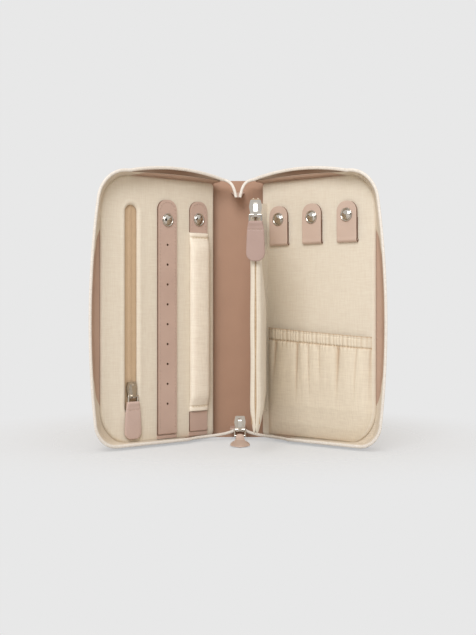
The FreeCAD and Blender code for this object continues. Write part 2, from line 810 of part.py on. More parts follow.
behind = "sz.back_half + sz.fit"
tape_v = "sz.panel_face - sz.panel_thickness - sz.fit - sz.cloth"
bag_out = []
bag_out.append(("sz.bag_u", "12", "10"))
bag_out.append(("sz.panel_reach - 3", "12", "20"))
bag_out.append(("sz.panel_reach - 3", "sz.slit_head + 10", "20"))
bag_out.append(("sz.bag_u", "sz.slit_head + 10", "10"))
bag = plate("pocket_bag", 1, bag_out, behind, f"{tape_v} - sz.fit - ({behind})")
sunk(bag, 1, f"{behind} + sz.bag_wall", "10",
     lambda sketch: rectangle(sketch, "sz.bag_u + sz.bag_wall", "12 + sz.bag_wall",
                              "sz.panel_reach - 3 - sz.bag_wall", "sz.slit_head + 10 - sz.bag_wall", "9"))
tape_head = "sz.slit_head + 10 - sz.bag_wall * 2"
plate("pocket_zip_tape", 1, strip("sz.slit_u", "2.2 * sz.slit_width", "16", tape_head, "2"),
      tape_v, "sz.cloth")
plate("pocket_zip_coil", 1,
      strip("sz.slit_u", "sz.small_coil_width", "sz.slit_foot + 1", "sz.slit_head - 1", "0.5"),
      "sz.panel_face - sz.panel_thickness", "sz.small_coil_height")
slider_x, slider_y = in_half(1, "sz.slit_u", "sz.panel_face - sz.slider_rail + 0.25")
slider("pocket_slider", slider_x, slider_y, "sz.pocket_slider_z", "sz.half_angle")
hang(wire_ring("pocket_ring"), slider_x, slider_y, "sz.pocket_slider_z", "sz.half_angle")
hang(pull("pocket_pull"), slider_x, slider_y, "sz.pocket_slider_z", "sz.half_angle")

# Left half: earring strap, which swings on its sewn foot

strap_v = "(sz.panel_face + sz.lift_off)"
strap_axis_v = f"({strap_v} + sz.strap_thickness / 2)"
bead = "(sz.strap_hinge_z - sz.strap_thickness / 2)"
strap = plate("earring_strap", 1,
              strip("sz.strap_u", "sz.strap_width", bead, "sz.strap_head", "sz.strap_width * 0.44"),
              strap_v, "sz.strap_thickness")
fillet(strap, "sz.strap_thickness / 2 - 0.01", level_edges(bead))
sunk(strap, 1, strap_v, "sz.strap_thickness * 0.62",
     lambda sketch: circle(sketch, "sz.strap_u", "sz.strap_snap_z", "sz.stud_radius + sz.stud_play"))
holes = sunk(strap, 1, strap_v, "sz.strap_thickness + 1",
             lambda sketch: circle(sketch, "sz.strap_u", "sz.hole_first", "sz.hole_radius"))
row = strap.newObject("PartDesign::LinearPattern", "row")
row.Originals = [holes]
row.Direction = ([f for f in strap.Origin.OriginFeatures if f.Role == "Z_Axis"][0], [""])
row.setExpression("Length", "sz.hole_pitch * (sz.hole_count - 1)")
row.setExpression("Occurrences", "sz.hole_count")
strap.Tip = row
doc.recompute()
plate("earring_strap_foot", 1,
      strip("sz.strap_u", "sz.strap_width", "sz.panel_foot + 0.5", f"{bead} - 0.4", "0"),
      "sz.panel_face + sz.fit", "sz.strap_thickness")
snap_cap("earring_snap_cap", 1, "sz.strap_u", "sz.strap_snap_z", f"({strap_v} + sz.strap_thickness + sz.fit)")
snap_stud(new_body("earring_snap_stud"), 1, "sz.strap_u", "sz.strap_snap_z", "sz.panel_face - 0.8 + sz.fit",
          "sz.panel_face", f"{strap_v} + sz.strap_thickness / 2")

# Left half: ring roll, which swings on its sewn foot

tab_v = strap_v
roll_bead = "(sz.strap_hinge_z - sz.roll_tab_thickness / 2)"
low_tab = plate("ring_roll_bottom_tab", 1,
                strip("sz.roll_u", "sz.roll_tab_width", roll_bead, "sz.roll_foot - sz.fit", "0"),
                tab_v, "sz.roll_tab_thickness")
fillet(low_tab, "sz.roll_tab_thickness / 2 - 0.01", level_edges(roll_bead))
roll = plate("ring_roll", 1, strip("sz.roll_u", "sz.roll_width", "sz.roll_foot", "sz.roll_head", "0"),
             tab_v, "sz.roll_thickness")
roll_front = value(f"{tab_v} + sz.roll_thickness")
fillet(roll, "sz.roll_round",
       lambda edge: all(abs(vertex.Point.y - roll_front) < 0.01 for vertex in edge.Vertexes))
top_tab = plate("ring_roll_top_tab", 1,
                strip("sz.roll_u", "sz.roll_tab_width", "sz.roll_head + sz.fit", "sz.roll_top",
                      "sz.roll_tab_width * 0.44"),
                tab_v, "sz.roll_tab_thickness")
sunk(top_tab, 1, tab_v, "sz.roll_tab_thickness * 0.7",
     lambda sketch: circle(sketch, "sz.roll_u", "sz.roll_snap_z", "sz.stud_radius + sz.stud_play"))
plate("ring_roll_foot", 1,
      strip("sz.roll_u", "sz.roll_tab_width", "sz.panel_foot + 0.5", f"{roll_bead} - 0.4", "0"),
      "sz.panel_face + sz.fit", "sz.roll_tab_thickness")
roll_front = f"({tab_v} + sz.roll_tab_thickness + sz.fit)"
snap_cap("ring_roll_snap_cap", 1, "sz.roll_u", "sz.roll_snap_z", roll_front)
snap_stud(new_body("ring_roll_snap_stud"), 1, "sz.roll_u", "sz.roll_snap_z", "sz.panel_face - 0.8 + sz.fit",
          "sz.panel_face", f"{tab_v} + sz.roll_tab_thickness / 2")

# Right half: foam and necklace hooks

right_panel = half_case("right", -1)
foam = []
foam.append(("sz.panel_u + 1", "sz.panel_foot + 1", "2"))
foam.append(("sz.panel_reach - 6", "sz.panel_foot + 1", "sz.panel_corner"))
foam.append(("sz.panel_reach - 6", "sz.panel_head - 1", "sz.panel_corner"))
foam.append(("sz.panel_u + 1", "sz.panel_head - 1", "2"))
plate("right_panel_foam", -1, foam, behind, f"sz.panel_face - sz.panel_thickness - sz.fit - ({behind})")

hook_axis_v = "(sz.panel_face + sz.hook_stand - sz.hook_flap / 2)"
hook_axis_z = "(sz.hook_foot + sz.hook_back + 0.3 + sz.hook_flap / 2)"


def side_profile(body, u, width, corners):
    """Piece of the right half drawn from the side over v and z, and padded to both sides of u."""
    sketch = new_sketch(body, "YZ_Plane", u)
    polygon(sketch, [(f"-({v})", z, r) for v, z, r in corners][::-1])
    return pad(body, sketch, width, both=True)


def head_corners(z):
    """Picks the two upright corners of a strip's head."""

    def wanted(edge):
        ends = [vertex.Point for vertex in edge.Vertexes]
        flat = len(ends) == 2 and abs(ends[0].x - ends[1].x) < 0.01
        return flat and all(abs(point.z - value(z)) < 0.01 for point in ends)

    return wanted


for number in (1, 2, 3):
    hook_u = f"(sz.hook_u + sz.hook_pitch * {number - 1})"
    back = new_body(f"necklace_hook_{number}_back")
    near = "sz.panel_face + sz.fit"
    face = f"{near} + sz.hook_back"
    front = "sz.panel_face + sz.hook_stand"
    corners = []
    corners.append((near, "sz.hook_foot", "0.6"))
    corners.append((front, "sz.hook_foot", "0.5"))
    corners.append((front, "sz.hook_foot + sz.hook_back", "0"))
    corners.append((face, "sz.hook_foot + sz.hook_back", "0"))
    corners.append((face, "sz.hook_head", "0"))
    corners.append((near, "sz.hook_head", "0"))
    side_profile(back, hook_u, "sz.hook_width", corners)
    fillet(back, "sz.hook_width * 0.44", head_corners("sz.hook_head"))
    place_half(back, -1)
    flap = new_body(f"necklace_hook_{number}")
    low = f"{hook_axis_z} - sz.hook_flap / 2"
    bend = "sz.hook_flap / 2 - 0.01"
    corners = []
    corners.append((f"{front} - sz.hook_flap", low, bend))
    corners.append((front, low, bend))
    corners.append((front, "sz.hook_head", "0"))
    corners.append((f"{front} - sz.hook_flap", "sz.hook_head", "0"))
    side_profile(flap, hook_u, "sz.hook_width", corners)
    fillet(flap, "sz.hook_width * 0.44", head_corners("sz.hook_head"))
    sunk(flap, -1, f"{front} - sz.hook_flap - 0.1", "sz.hook_flap * 0.6 + 0.1",
         lambda sketch: circle(sketch, hook_u, "sz.hook_snap_z", "sz.stud_radius + sz.stud_play"))
    place_half(flap, -1)
    snap_cap(f"necklace_hook_{number}_cap", -1, hook_u, "sz.hook_snap_z", f"({front} + sz.fit)")
    snap_stud(new_body(f"necklace_hook_{number}_stud"), -1, hook_u, "sz.hook_snap_z", f"{face} + sz.fit",
              f"{face} + 0.5", f"{front} - sz.hook_flap * 0.5")

# Right half: gathered pocket. Each section is a row of shallow arcs along the mouth, so the
# cloth stands out from the panel in a long bow with the gathers on it.


def gathered_section(z, tilt, depth, wave, low, high):
    u0 = value("sz.gather_u")
    u1 = value("sz.gather_reach")
    round_panel = value("sz.panel_corner")
    drop = value("sz.panel_foot") + round_panel - z
    if drop > 0:
        u1 -= round_panel - math.sqrt(round_panel ** 2 - drop ** 2)
    base = value("sz.panel_face + sz.fit")
    count = int(value("sz.gather_count"))
    step = (u1 - u0) / count

    def point(u, lift):
        far = (2 * u - u0 - u1) / (u1 - u0)
        return V(u, -(base + depth * (1 - far ** 2) + lift), z - tilt * far)

    def row(lift):
        arcs = []
        for i in range(count):
            u = u0 + i * step
            crest = wave if i % 2 else -wave
            line = Part.Arc(point(u, lift), point(u + step / 2, lift + crest), point(u + step, lift))
            arcs.append(line.toShape())
        return arcs

    front = row(high)
    back = row(low)
    ends = [Part.makeLine(point(u0, low), point(u0, high)), Part.makeLine(point(u1, low), point(u1, high))]
    return Part.Wire(Part.__sortEdges__(front + back + ends))


def gathered(label, sections, low, high):
    """Cloth lofted through sections z, tilt, depth, wave, between two lifts off the base."""
    thing = doc.addObject("Part::Feature", label)
    thing.Label = label
    wires = [gathered_section(z, tilt, depth, wave, low, high) for z, tilt, depth, wave in sections]
    thing.Shape = Part.makeLoft(wires, True, True)
    place_half(thing, -1)
    nodes.append(thing)
    return thing


mouth = value("sz.gather_head")
seam = mouth - value("sz.gather_hem")
foot = value("sz.panel_foot + 0.5")
tilt = value("sz.gather_tilt")
depth = value("sz.gather_depth")
wave = value("sz.gather_wave")
cloth = value("sz.cloth")
bulge = []
bulge.append((foot, 0, 0.3, 0.03))
bulge.append((foot + 4, 0, 0.35 * depth, 0.2 * wave))
bulge.append((foot + 11, 0, 0.7 * depth, 0.3 * wave))
bulge.append((foot + 20, 0, 0.85 * depth, 0.3 * wave))
bulge.append((0.5 * (foot + seam), 0.5 * tilt, depth, 0.4 * wave))
bulge.append((seam, tilt, depth, wave))
gathered("gathered_pocket", bulge, 0.6, 0.6 + cloth)
hem = [(seam + 0.1, tilt, depth, wave), (mouth, tilt, depth, 0.8 * wave)]
gathered("gathered_pocket_hem", hem, 0.6, 0.6 + cloth)
band = [(seam + 2, tilt, depth, wave), (mouth - 1, tilt, depth, 0.8 * wave)]
gathered("gathered_pocket_elastic", band, 0.2, 0.5)

# Middle pouch, which turns on a strip sewn to the right panel

flange = new_body("page_hinge_strip")
section = new_sketch(flange, "XY_Plane", "sz.page_step + 1")
half_flange = "sz.flange / 2"
corners = []
corners.append((f"sz.page_u - {half_flange}", "-(sz.page_v + sz.flange / 2)", f"{half_flange} - 0.01"))
corners.append((f"sz.page_u + {half_flange}", "-(sz.page_v + sz.flange / 2)", f"{half_flange} - 0.01"))
corners.append((f"sz.page_u + {half_flange}", "-(sz.panel_face + sz.fit)", "0"))
corners.append((f"sz.page_u - {half_flange}", "-(sz.panel_face + sz.fit)", "0"))
polygon(section, corners)
pad(flange, section, "sz.page_head - sz.page_step - 2")
place_half(flange, -1)


def place_page(thing):
    x, y = in_page("0")
    place(thing, x, y, "0", "360 - sz.half_angle - sz.page_angle")


def page_outline(inset, mouth):
    """Outline of the pouch, with its lower corner cut away over the parked slider."""
    corners = []
    corners.append((f"sz.page_gap + {inset}", f"sz.page_step + {inset}", "0"))
    corners.append(("26", f"sz.page_step + {inset}", "4"))
    corners.append(("36", f"sz.page_foot + {inset}", "4"))
    corners.append((f"sz.page_depth + {mouth}", f"sz.page_foot + {inset}", "sz.page_corner"))
    corners.append((f"sz.page_depth + {mouth}", f"sz.page_head - {inset}", "sz.page_corner"))
    corners.append((f"sz.page_gap + {inset}", f"sz.page_head - {inset}", "2"))
    return corners


pouch = new_body("page_pouch")
outline = new_sketch(pouch, "XZ_Plane")
polygon(outline, page_outline("0", "0"))
pad(pouch, outline, "sz.page_thickness", both=True)
hollow = new_sketch(pouch, "XZ_Plane")
polygon(hollow, page_outline("sz.page_skin * 1.5", "8"))
cut(pouch, hollow, "sz.page_thickness - 2 * sz.page_skin", both=True)
place_page(pouch)


def page_strip(label, width, low, thickness, ends):
    """Strip along the fore edge of the pouch."""
    body = new_body(label)
    sketch = new_sketch(body, "YZ_Plane", low)
    low, high = f"sz.page_foot + {ends}", f"sz.page_head - {ends}"
    rectangle(sketch, f"-{width} / 2", low, f"{width} / 2", high, "0.5")
    pad(body, sketch, thickness)
    place_page(body)
    return body


edge = "sz.page_depth + sz.fit"
page_strip("page_zip_tape", "(sz.page_thickness - 0.6)", edge, "sz.cloth", "(sz.page_corner + 0.5)")
page_strip("page_zip_coil", "sz.small_coil_width", f"{edge} + sz.cloth + sz.fit",
           "sz.small_coil_height", "(sz.page_corner + 1.5)")
page_turn = "(90 - sz.half_angle - sz.page_angle)"
page_x, page_y = in_page(f"{edge} + sz.cloth + 2 * sz.fit")
slider("page_slider", page_x, page_y, "sz.page_slider_z", page_turn)
hang(wire_ring("page_ring"), page_x, page_y, "sz.page_slider_z", page_turn)
hang(pull("page_pull"), page_x, page_y, "sz.page_slider_z", page_turn)

# Test every piece and write it out

doc.recompute()
for thing in doc.Objects:
    if "Invalid" in thing.State or "Error" in thing.State:
        raise ValueError(f"{thing.Label}: {thing.State}")
for thing in nodes:
    shape = thing.Shape
    if shape.isNull() or not shape.isValid():
        raise ValueError(f"{thing.Label}: the shape is not valid")
    shape.exportStep(f"parts/{thing.Label}.step")
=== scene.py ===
import math

import bmesh
import bpy
import numpy as np
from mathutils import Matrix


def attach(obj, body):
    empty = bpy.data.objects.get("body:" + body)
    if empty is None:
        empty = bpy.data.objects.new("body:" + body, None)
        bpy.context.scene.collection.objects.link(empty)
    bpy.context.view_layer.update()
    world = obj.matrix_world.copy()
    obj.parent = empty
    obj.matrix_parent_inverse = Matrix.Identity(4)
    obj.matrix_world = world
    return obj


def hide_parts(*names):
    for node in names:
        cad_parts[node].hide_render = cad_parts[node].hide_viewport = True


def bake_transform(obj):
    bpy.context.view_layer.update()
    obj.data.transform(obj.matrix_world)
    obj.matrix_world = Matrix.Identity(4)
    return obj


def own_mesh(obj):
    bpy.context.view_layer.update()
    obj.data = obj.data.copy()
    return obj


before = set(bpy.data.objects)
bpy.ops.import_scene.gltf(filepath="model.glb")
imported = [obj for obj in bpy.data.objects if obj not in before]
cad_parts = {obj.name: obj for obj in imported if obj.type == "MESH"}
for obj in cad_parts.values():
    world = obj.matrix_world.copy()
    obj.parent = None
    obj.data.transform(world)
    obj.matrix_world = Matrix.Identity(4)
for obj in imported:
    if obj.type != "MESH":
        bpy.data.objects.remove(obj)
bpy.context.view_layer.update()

# Sizes that several pieces share, in millimetres. u, v and z are those of on_half.

MM = 0.001
LEFT, RIGHT = -1, 1
HALVES = ((LEFT, "left"), (RIGHT, "right"))
HALF_ANGLE = math.radians(40)  # between each half and the plane of the spine
FOLD_X = 23.0  # fold lines on both sides of the spine
PANEL_FACE = 10.0  # v of the lined panels' faces
PANEL_LOW, PANEL_HIGH = np.array([4.0, 3.5]), np.array([104.4, 196.5])  # u and z of a panel's ends
PANEL_CORNERS = (2.0, 25.0)  # corner radii of a panel, at the spine and at the fore edge
SLIT_U, STRAP_U, ROLL_U = 79.6, 48.8, 19.2  # middle lines of what lies on the left panel
HOOK_U = (21.5, 52.5, 83.5)  # middle lines of the necklace hooks on the right panel
PAGE_HINGE = (8.0, 22.2)  # u and v of the pouch's sewn edge on the right half
PAGE_TURN = math.radians(268)  # way in which the pouch stands out
PAGE_DEEP = 84.2  # from the pouch's sewn edge to its lips
TOP_PART = 150  # z above which a line round the rim belongs to its top
LEATHER_EDGE = 17.0  # v where the wall's leather ends and the zip tape goes on
COIL_LEVEL = 22.0  # v of the coil on the rim
COIL_PITCH = 1.5
MAIN_X = 1.5  # x of the parked main slider


# Places on the case, worked out in millimetres and returned in metres

def on_half(side, u, v, z):
    """A point of one half: u runs out from its fold, v in from the middle of its back, z up."""
    c, s = math.cos(HALF_ANGLE), math.sin(HALF_ANGLE)
    x = side * (FOLD_X + c * u - s * v)
    y = -s * u - c * v
    return np.stack(np.broadcast_arrays(x, y, z), -1) * MM


def on_page(depth, across, z):
    """A point of the middle pouch: depth out from its sewn edge, across towards the right half, z up."""
    hinge = on_half(RIGHT, *PAGE_HINGE, 0.0) / MM
    c, s = math.cos(PAGE_TURN), math.sin(PAGE_TURN)
    x = hinge[0] + depth * c - across * s
    y = hinge[1] + depth * s + across * c
    return np.stack(np.broadcast_arrays(x, y, z), -1) * MM


def panel_normal(side):
    """Unit vector square to a half's panel, out of its face."""
    return (on_half(side, 0, 1, 0) - on_half(side, 0, 0, 0)) / MM


# Curves

def smooth(a, b, t):
    """Smooth step: 0 below a, 1 above b, and 3t^2 - 2t^3 between."""
    k = np.clip((t - a) / (b - a), 0, 1)
    return k * k * (3 - 2 * k)


def bell(t, middle, width):
    """Bell curve: 1 at the middle and 1/e one width away from it."""
    return np.exp(-((t - middle) / width) ** 2)


def quarter_round(e, radius):
    """Drop below a face at distance e from its edge, for an edge rounded with that radius."""
    k = np.clip(1 - e / radius, 0, 1)
    return radius * (1 - np.sqrt(1 - k * k))


def round_end(e, radius):
    """Share of the full thickness at distance e from an end that closes in a quarter circle."""
    return np.sqrt(np.clip(1 - (1 - np.clip(e / radius, 0, 1)) ** 2, 0, 1))


def oblong(count, power_u, power_v):
    """Cosine and sine round a ring, each raised to a power below 1, which squares the ring up."""
    angle = np.arange(count) * 2 * math.pi / count
    c, s = np.cos(angle), np.sin(angle)
    return np.sign(c) * np.abs(c) ** power_u, np.sign(s) * np.abs(s) ** power_v


def bezier(points, count):
    """A smooth curve by control points: the sum of the points times the Bernstein polynomials."""
    t = np.linspace(0, 1, count)[:, None]
    n = len(points) - 1
    return sum(math.comb(n, k) * (1 - t) ** (n - k) * t ** k * np.array(points[k]) for k in range(n + 1))


def evenly(path, step):
    """The same line with points at an even step, and their distances along it."""
    run = np.concatenate([[0], np.cumsum(np.linalg.norm(np.diff(path, axis=0), axis=1))])
    at = np.linspace(0, run[-1], int(run[-1] / step))
    return np.stack([np.interp(at, run, path[:, k]) for k in range(path.shape[1])], -1), at


# Meshes


def grid_quads(rows, cols, loop):
    """Corner numbers of a grid's cells, row by row. Columns close on themselves with loop."""
    i, j = np.meshgrid(np.arange(rows - 1), np.arange(cols if loop else cols - 1), indexing="ij")
    k = (j + 1) % cols
    return np.stack([i * cols + j, i * cols + k, (i + 1) * cols + k, (i + 1) * cols + j], -1).reshape(-1, 4)


def new_object(name, points, faces, material):
    """A smooth mesh of points and faces, linked to the scene."""
    mesh = bpy.data.meshes.new(name)
    mesh.from_pydata(points.reshape(-1, 3).tolist(), [], faces)
    mesh.polygons.foreach_set("use_smooth", np.ones(len(mesh.polygons), bool))
    mesh.materials.append(material)
    obj = bpy.data.objects.new(name, mesh)
    bpy.context.scene.collection.objects.link(obj)
    return obj


def surface(name, points, material, loop=False, wall=0.0, offset=-1.0, uv=None, flip=False):
    """A grid of points (rows, columns, xyz) as a smooth mesh. Columns close on themselves with loop, wall
    gives it a thickness in metres, and uv is kept in a map called along."""
    quads = grid_quads(*points.shape[:2], loop)
    if flip:
        quads = quads[:, ::-1]
    obj = new_object(name, points, quads.tolist(), material)
    if uv is not None:
        layer = obj.data.uv_layers.new(name="along")
        layer.data.foreach_set("uv", uv.reshape(-1, 2)[quads.ravel()].astype(np.float32).ravel())
    merged(obj)
    if wall:
        thick = obj.modifiers.new("wall", "SOLIDIFY")
        thick.thickness = wall
        thick.offset = offset
        thick.use_rim = True
    return obj


def merged(obj):
    """Joins points that lie on each other, so seams and poles are closed."""
    bm = bmesh.new()
    bm.from_mesh(obj.data)
    bmesh.ops.remove_doubles(bm, verts=bm.verts, dist=2e-6)
    bmesh.ops.dissolve_degenerate(bm, edges=bm.edges, dist=1e-7)
    bm.to_mesh(obj.data)
    bm.free()


def outward(obj):
    """Turns the faces of a closed shell outwards."""
    bm = bmesh.new()
    bm.from_mesh(obj.data)
    bmesh.ops.recalc_face_normals(bm, faces=bm.faces)
    bm.to_mesh(obj.data)
    bm.free()
    return obj


def tube(name, path, normal, width, height, material, sides):
    """A closed oval bar: a ring of points carried along a path. normal is the direction of height, width
    and height are half sizes in metres for each path point."""
    tangent = np.gradient(path, axis=0)
    tangent /= np.linalg.norm(tangent, axis=1, keepdims=True)
    across = np.cross(tangent, normal)
    across /= np.linalg.norm(across, axis=1, keepdims=True)
    up = np.cross(across, tangent)
    angle = np.arange(sides) * 2 * math.pi / sides
    ring = across[:, None] * np.cos(angle)[:, None] * np.reshape(width, (-1, 1, 1))
    ring = ring + up[:, None] * np.sin(angle)[:, None] * np.reshape(height, (-1, 1, 1))
    points = path[:, None] + ring
    points = np.concatenate([np.repeat(path[:1, None], sides, 1), points,
                             np.repeat(path[-1:, None], sides, 1)])
    return outward(surface(name, points, material, loop=True))


def stitches(name, path, normal, material):
    """A row of thread stitches: one small bowed capsule on every pitch of a path's length. normal is the
    way out of the cloth, one for all or one for each path point."""
    pitch, long, thick = 2.6 * MM, 1.9 * MM, 0.28 * MM
    rings, sides = 5, 6
    normal = np.broadcast_to(normal, path.shape)
    step = np.linalg.norm(np.diff(path, axis=0), axis=1)
    run = np.concatenate([[0], np.cumsum(step)])
    count = max(1, int(run[-1] / pitch))
    at = (np.arange(count) + 0.5) * run[-1] / count
    t = np.linspace(-1, 1, rings)
    along = at[:, None] + t * long / 2
    line = np.stack([np.interp(along, run, path[:, k]) for k in range(3)], -1)
    face = np.stack([np.interp(along, run, normal[:, k]) for k in range(3)], -1)
    tangent = np.gradient(line, axis=1)
    tangent /= np.linalg.norm(tangent, axis=-1, keepdims=True)
    across = np.cross(tangent, face)
    line = line + face * (thick * (0.75 - t[None, :, None] ** 2))
    radius = thick * np.array([0.3, 0.9, 1, 0.9, 0.3])[None, :, None, None]
    angle = np.arange(sides) * 2 * math.pi / sides
    ring = across[:, :, None] * np.cos(angle)[:, None] + face[:, :, None] * np.sin(angle)[:, None]
    points = line[:, :, None] + ring * radius
    first = rings * sides * np.arange(count)[:, None, None]
    quads = (grid_quads(rings, sides, True)[None] + first).reshape(-1, 4)
    caps = np.stack([np.arange(sides), rings * sides - 1 - np.arange(sides)])
    caps = (caps[None] + first).reshape(-1, sides)
    return outward(new_object(name, points, quads.tolist() + caps.tolist(), material))


# Materials

MIX_SHARE, MIX_A, MIX_B, MIX_OUT = 0, 6, 7, 2  # sockets of a Mix node that mixes colours


def colour(code):
    """An sRGB hex colour as linear red, green, blue and 1."""
    part = np.array([int(code[k:k + 2], 16) for k in (1, 3, 5)]) / 255
    linear = np.where(part <= 0.04045, part / 12.92, ((part + 0.055) / 1.055) ** 2.4)
    return (*linear.tolist(), 1.0)


def add(tree, kind, values=None, links=None, **settings):
    """Adds one shader node, with its settings, its input values and its links from (node, output)."""
    node = tree.nodes.new("ShaderNode" + kind)
    for key, value in settings.items():
        setattr(node, key, value)
    for key, value in (values or {}).items():
        node.inputs[key].default_value = value
    for key, (source, output) in (links or {}).items():
        tree.links.new(source.outputs[output], node.inputs[key])
    return node


def new_material(name, **values):
    """A material with one Principled shader, whose sockets take the values."""
    material = bpy.data.materials.new(name)
    material.use_nodes = True
    tree = material.node_tree
    shader = tree.nodes["Principled BSDF"]
    for key, value in values.items():
        shader.inputs[key.replace("_", " ")].default_value = value
    return material, tree, shader


def grained_leather(name, dark, light):
    """Embossed calf leather, drum dyed and lightly finished: pebbles about 1.3 mm wide with fine creases,
    a soft sheen and slow changes of tone about 25 mm wide."""
    material, tree, shader = new_material(name, Roughness=0.52, Specular_IOR_Level=0.4)
    where = add(tree, "TexCoord")
    tone = add(tree, "TexNoise", {"Scale": 1 / 0.025, "Detail": 2.0}, {"Vector": (where, "Object")})
    level = add(tree, "MapRange", {"From Min": 0.1, "From Max": 0.9}, {"Value": (tone, "Fac")})
    shade = add(tree, "Mix", {MIX_A: colour(dark), MIX_B: colour(light)}, {MIX_SHARE: (level, "Result")},
                data_type="RGBA")
    pebble = add(tree, "TexVoronoi", {"Scale": 1 / 0.0013}, {"Vector": (where, "Object")})
    crease = add(tree, "TexNoise", {"Scale": 1 / 0.0035, "Detail": 5.0}, {"Vector": (where, "Object")})
    height = add(tree, "Math", links={0: (pebble, "Distance"), 1: (crease, "Fac")}, operation="ADD")
    bump = add(tree, "Bump", {"Strength": 0.35, "Distance": 0.00012}, {"Height": (height, "Value")})
    tree.links.new(shade.outputs[MIX_OUT], shader.inputs["Base Color"])
    tree.links.new(bump.outputs["Normal"], shader.inputs["Normal"])
    return material


def woven_lining(name, turn, dark="#dcd0be", light="#e5dccb", crease=None):
    """Slubbed cotton lining in plain weave: threads near 0.5 mm, drawn 1.1 mm wide so that they show, and
    thicker slubs some 12 mm long in both directions. turn lines the weave up with the piece, and crease is
    the colour of painted shade in its hollows, whose strength is kept in the mesh's own map."""
    material, tree, shader = new_material(name, Roughness=0.88, Specular_IOR_Level=0.2, Sheen_Weight=0.25,
                                          Sheen_Roughness=0.5)
    where = add(tree, "TexCoord")
    turned_to = add(tree, "Mapping", {"Rotation": (0, 0, turn)}, {"Vector": (where, "Object")})
    upright = add(tree, "Mapping", {"Scale": (1100, 1100, 110)}, {"Vector": (turned_to, "Vector")})
    lying = add(tree, "Mapping", {"Scale": (110, 110, 1100)}, {"Vector": (turned_to, "Vector")})
    warp = add(tree, "TexNoise", {"Scale": 1.0, "Detail": 2.0}, {"Vector": (upright, "Vector")})
    weft = add(tree, "TexNoise", {"Scale": 1.0, "Detail": 2.0}, {"Vector": (lying, "Vector")})
    both = add(tree, "Math", links={0: (warp, "Fac"), 1: (weft, "Fac")}, operation="ADD")
    mean = add(tree, "Math", {1: 0.5}, {0: (both, "Value")}, operation="MULTIPLY")
    level = add(tree, "MapRange", {"From Min": 0.3, "From Max": 0.66}, {"Value": (mean, "Value")})
    shade = add(tree, "Mix", {MIX_A: colour(dark), MIX_B: colour(light)}, {MIX_SHARE: (level, "Result")},
                data_type="RGBA")
    bump = add(tree, "Bump", {"Strength": 0.22, "Distance": 0.0002}, {"Height": (mean, "Value")})
    # Painted shade: the crease colour is mixed in by the strength kept in the mesh's map
    if crease:
        kept = add(tree, "UVMap", uv_map="along")
        depth = add(tree, "SeparateXYZ", links={0: (kept, "UV")})
        shade = add(tree, "Mix", {MIX_B: colour(crease)}, {MIX_SHARE: (depth, "X"), MIX_A: (shade, MIX_OUT)},
                    data_type="RGBA")
    tree.links.new(shade.outputs[MIX_OUT], shader.inputs["Base Color"])
    tree.links.new(bump.outputs["Normal"], shader.inputs["Normal"])
    return material


def zip_webbing(name, dark, light):
    """Woven polyester zip tape: a matt twill whose ribs, about 0.6 mm apart, catch a little light."""
    material, tree, shader = new_material(name, Roughness=0.8, Specular_IOR_Level=0.25, Sheen_Weight=0.15)
    where = add(tree, "TexCoord")
    rib = add(tree, "TexWave", {"Scale": 1 / 0.0022, "Distortion": 1.5}, {"Vector": (where, "Object")},
              bands_direction="DIAGONAL")
    fuzz = add(tree, "TexNoise", {"Scale": 1 / 0.004, "Detail": 4.0}, {"Vector": (where, "Object")})
    both = add(tree, "Math", links={0: (rib, "Fac"), 1: (fuzz, "Fac")}, operation="ADD")
    mean = add(tree, "Math", {1: 0.5}, {0: (both, "Value")}, operation="MULTIPLY")
    level = add(tree, "MapRange", {"From Min": 0.2, "From Max": 0.8}, {"Value": (mean, "Value")})
    shade = add(tree, "Mix", {MIX_A: colour(dark), MIX_B: colour(light)}, {MIX_SHARE: (level, "Result")},
                data_type="RGBA")
    bump = add(tree, "Bump", {"Strength": 0.3, "Distance": 0.00012}, {"Height": (mean, "Value")})
    tree.links.new(shade.outputs[MIX_OUT], shader.inputs["Base Color"])
    tree.links.new(bump.outputs["Normal"], shader.inputs["Normal"])
    return material


def polished_nickel(name):
    """Nickel plated zinc, polished: a bright warm grey mirror with faint smears some 6 mm wide."""
    material, tree, shader = new_material(name, Metallic=1.0, Base_Color=colour("#c9c2b8"))
    where = add(tree, "TexCoord")
    smear = add(tree, "TexNoise", {"Scale": 1 / 0.006, "Detail": 3.0}, {"Vector": (where, "Object")})
    rough = add(tree, "MapRange", {"To Min": 0.06, "To Max": 0.16}, {"Value": (smear, "Fac")})
    tree.links.new(rough.outputs["Result"], shader.inputs["Roughness"])
    return material


def plain_fibre(name, dark, light, grit, rough):
    """Board, foam, nylon, thread, dyed edge, painted shade or black paper: a mottle with the grit's own width
    in metres.
    """
    material, tree, shader = new_material(name, Roughness=rough, Specular_IOR_Level=0.25)
    where = add(tree, "TexCoord")
    mottle = add(tree, "TexNoise", {"Scale": 1 / grit, "Detail": 4.0}, {"Vector": (where, "Object")})
    level = add(tree, "MapRange", {"From Min": 0.3, "From Max": 0.7}, {"Value": (mottle, "Fac")})
    shade = add(tree, "Mix", {MIX_A: colour(dark), MIX_B: colour(light)}, {MIX_SHARE: (level, "Result")},
                data_type="RGBA")
    bump = add(tree, "Bump", {"Strength": 0.25, "Distance": 0.0001}, {"Height": (mottle, "Fac")})
    tree.links.new(shade.outputs[MIX_OUT], shader.inputs["Base Color"])
    tree.links.new(bump.outputs["Normal"], shader.inputs["Normal"])
    return material


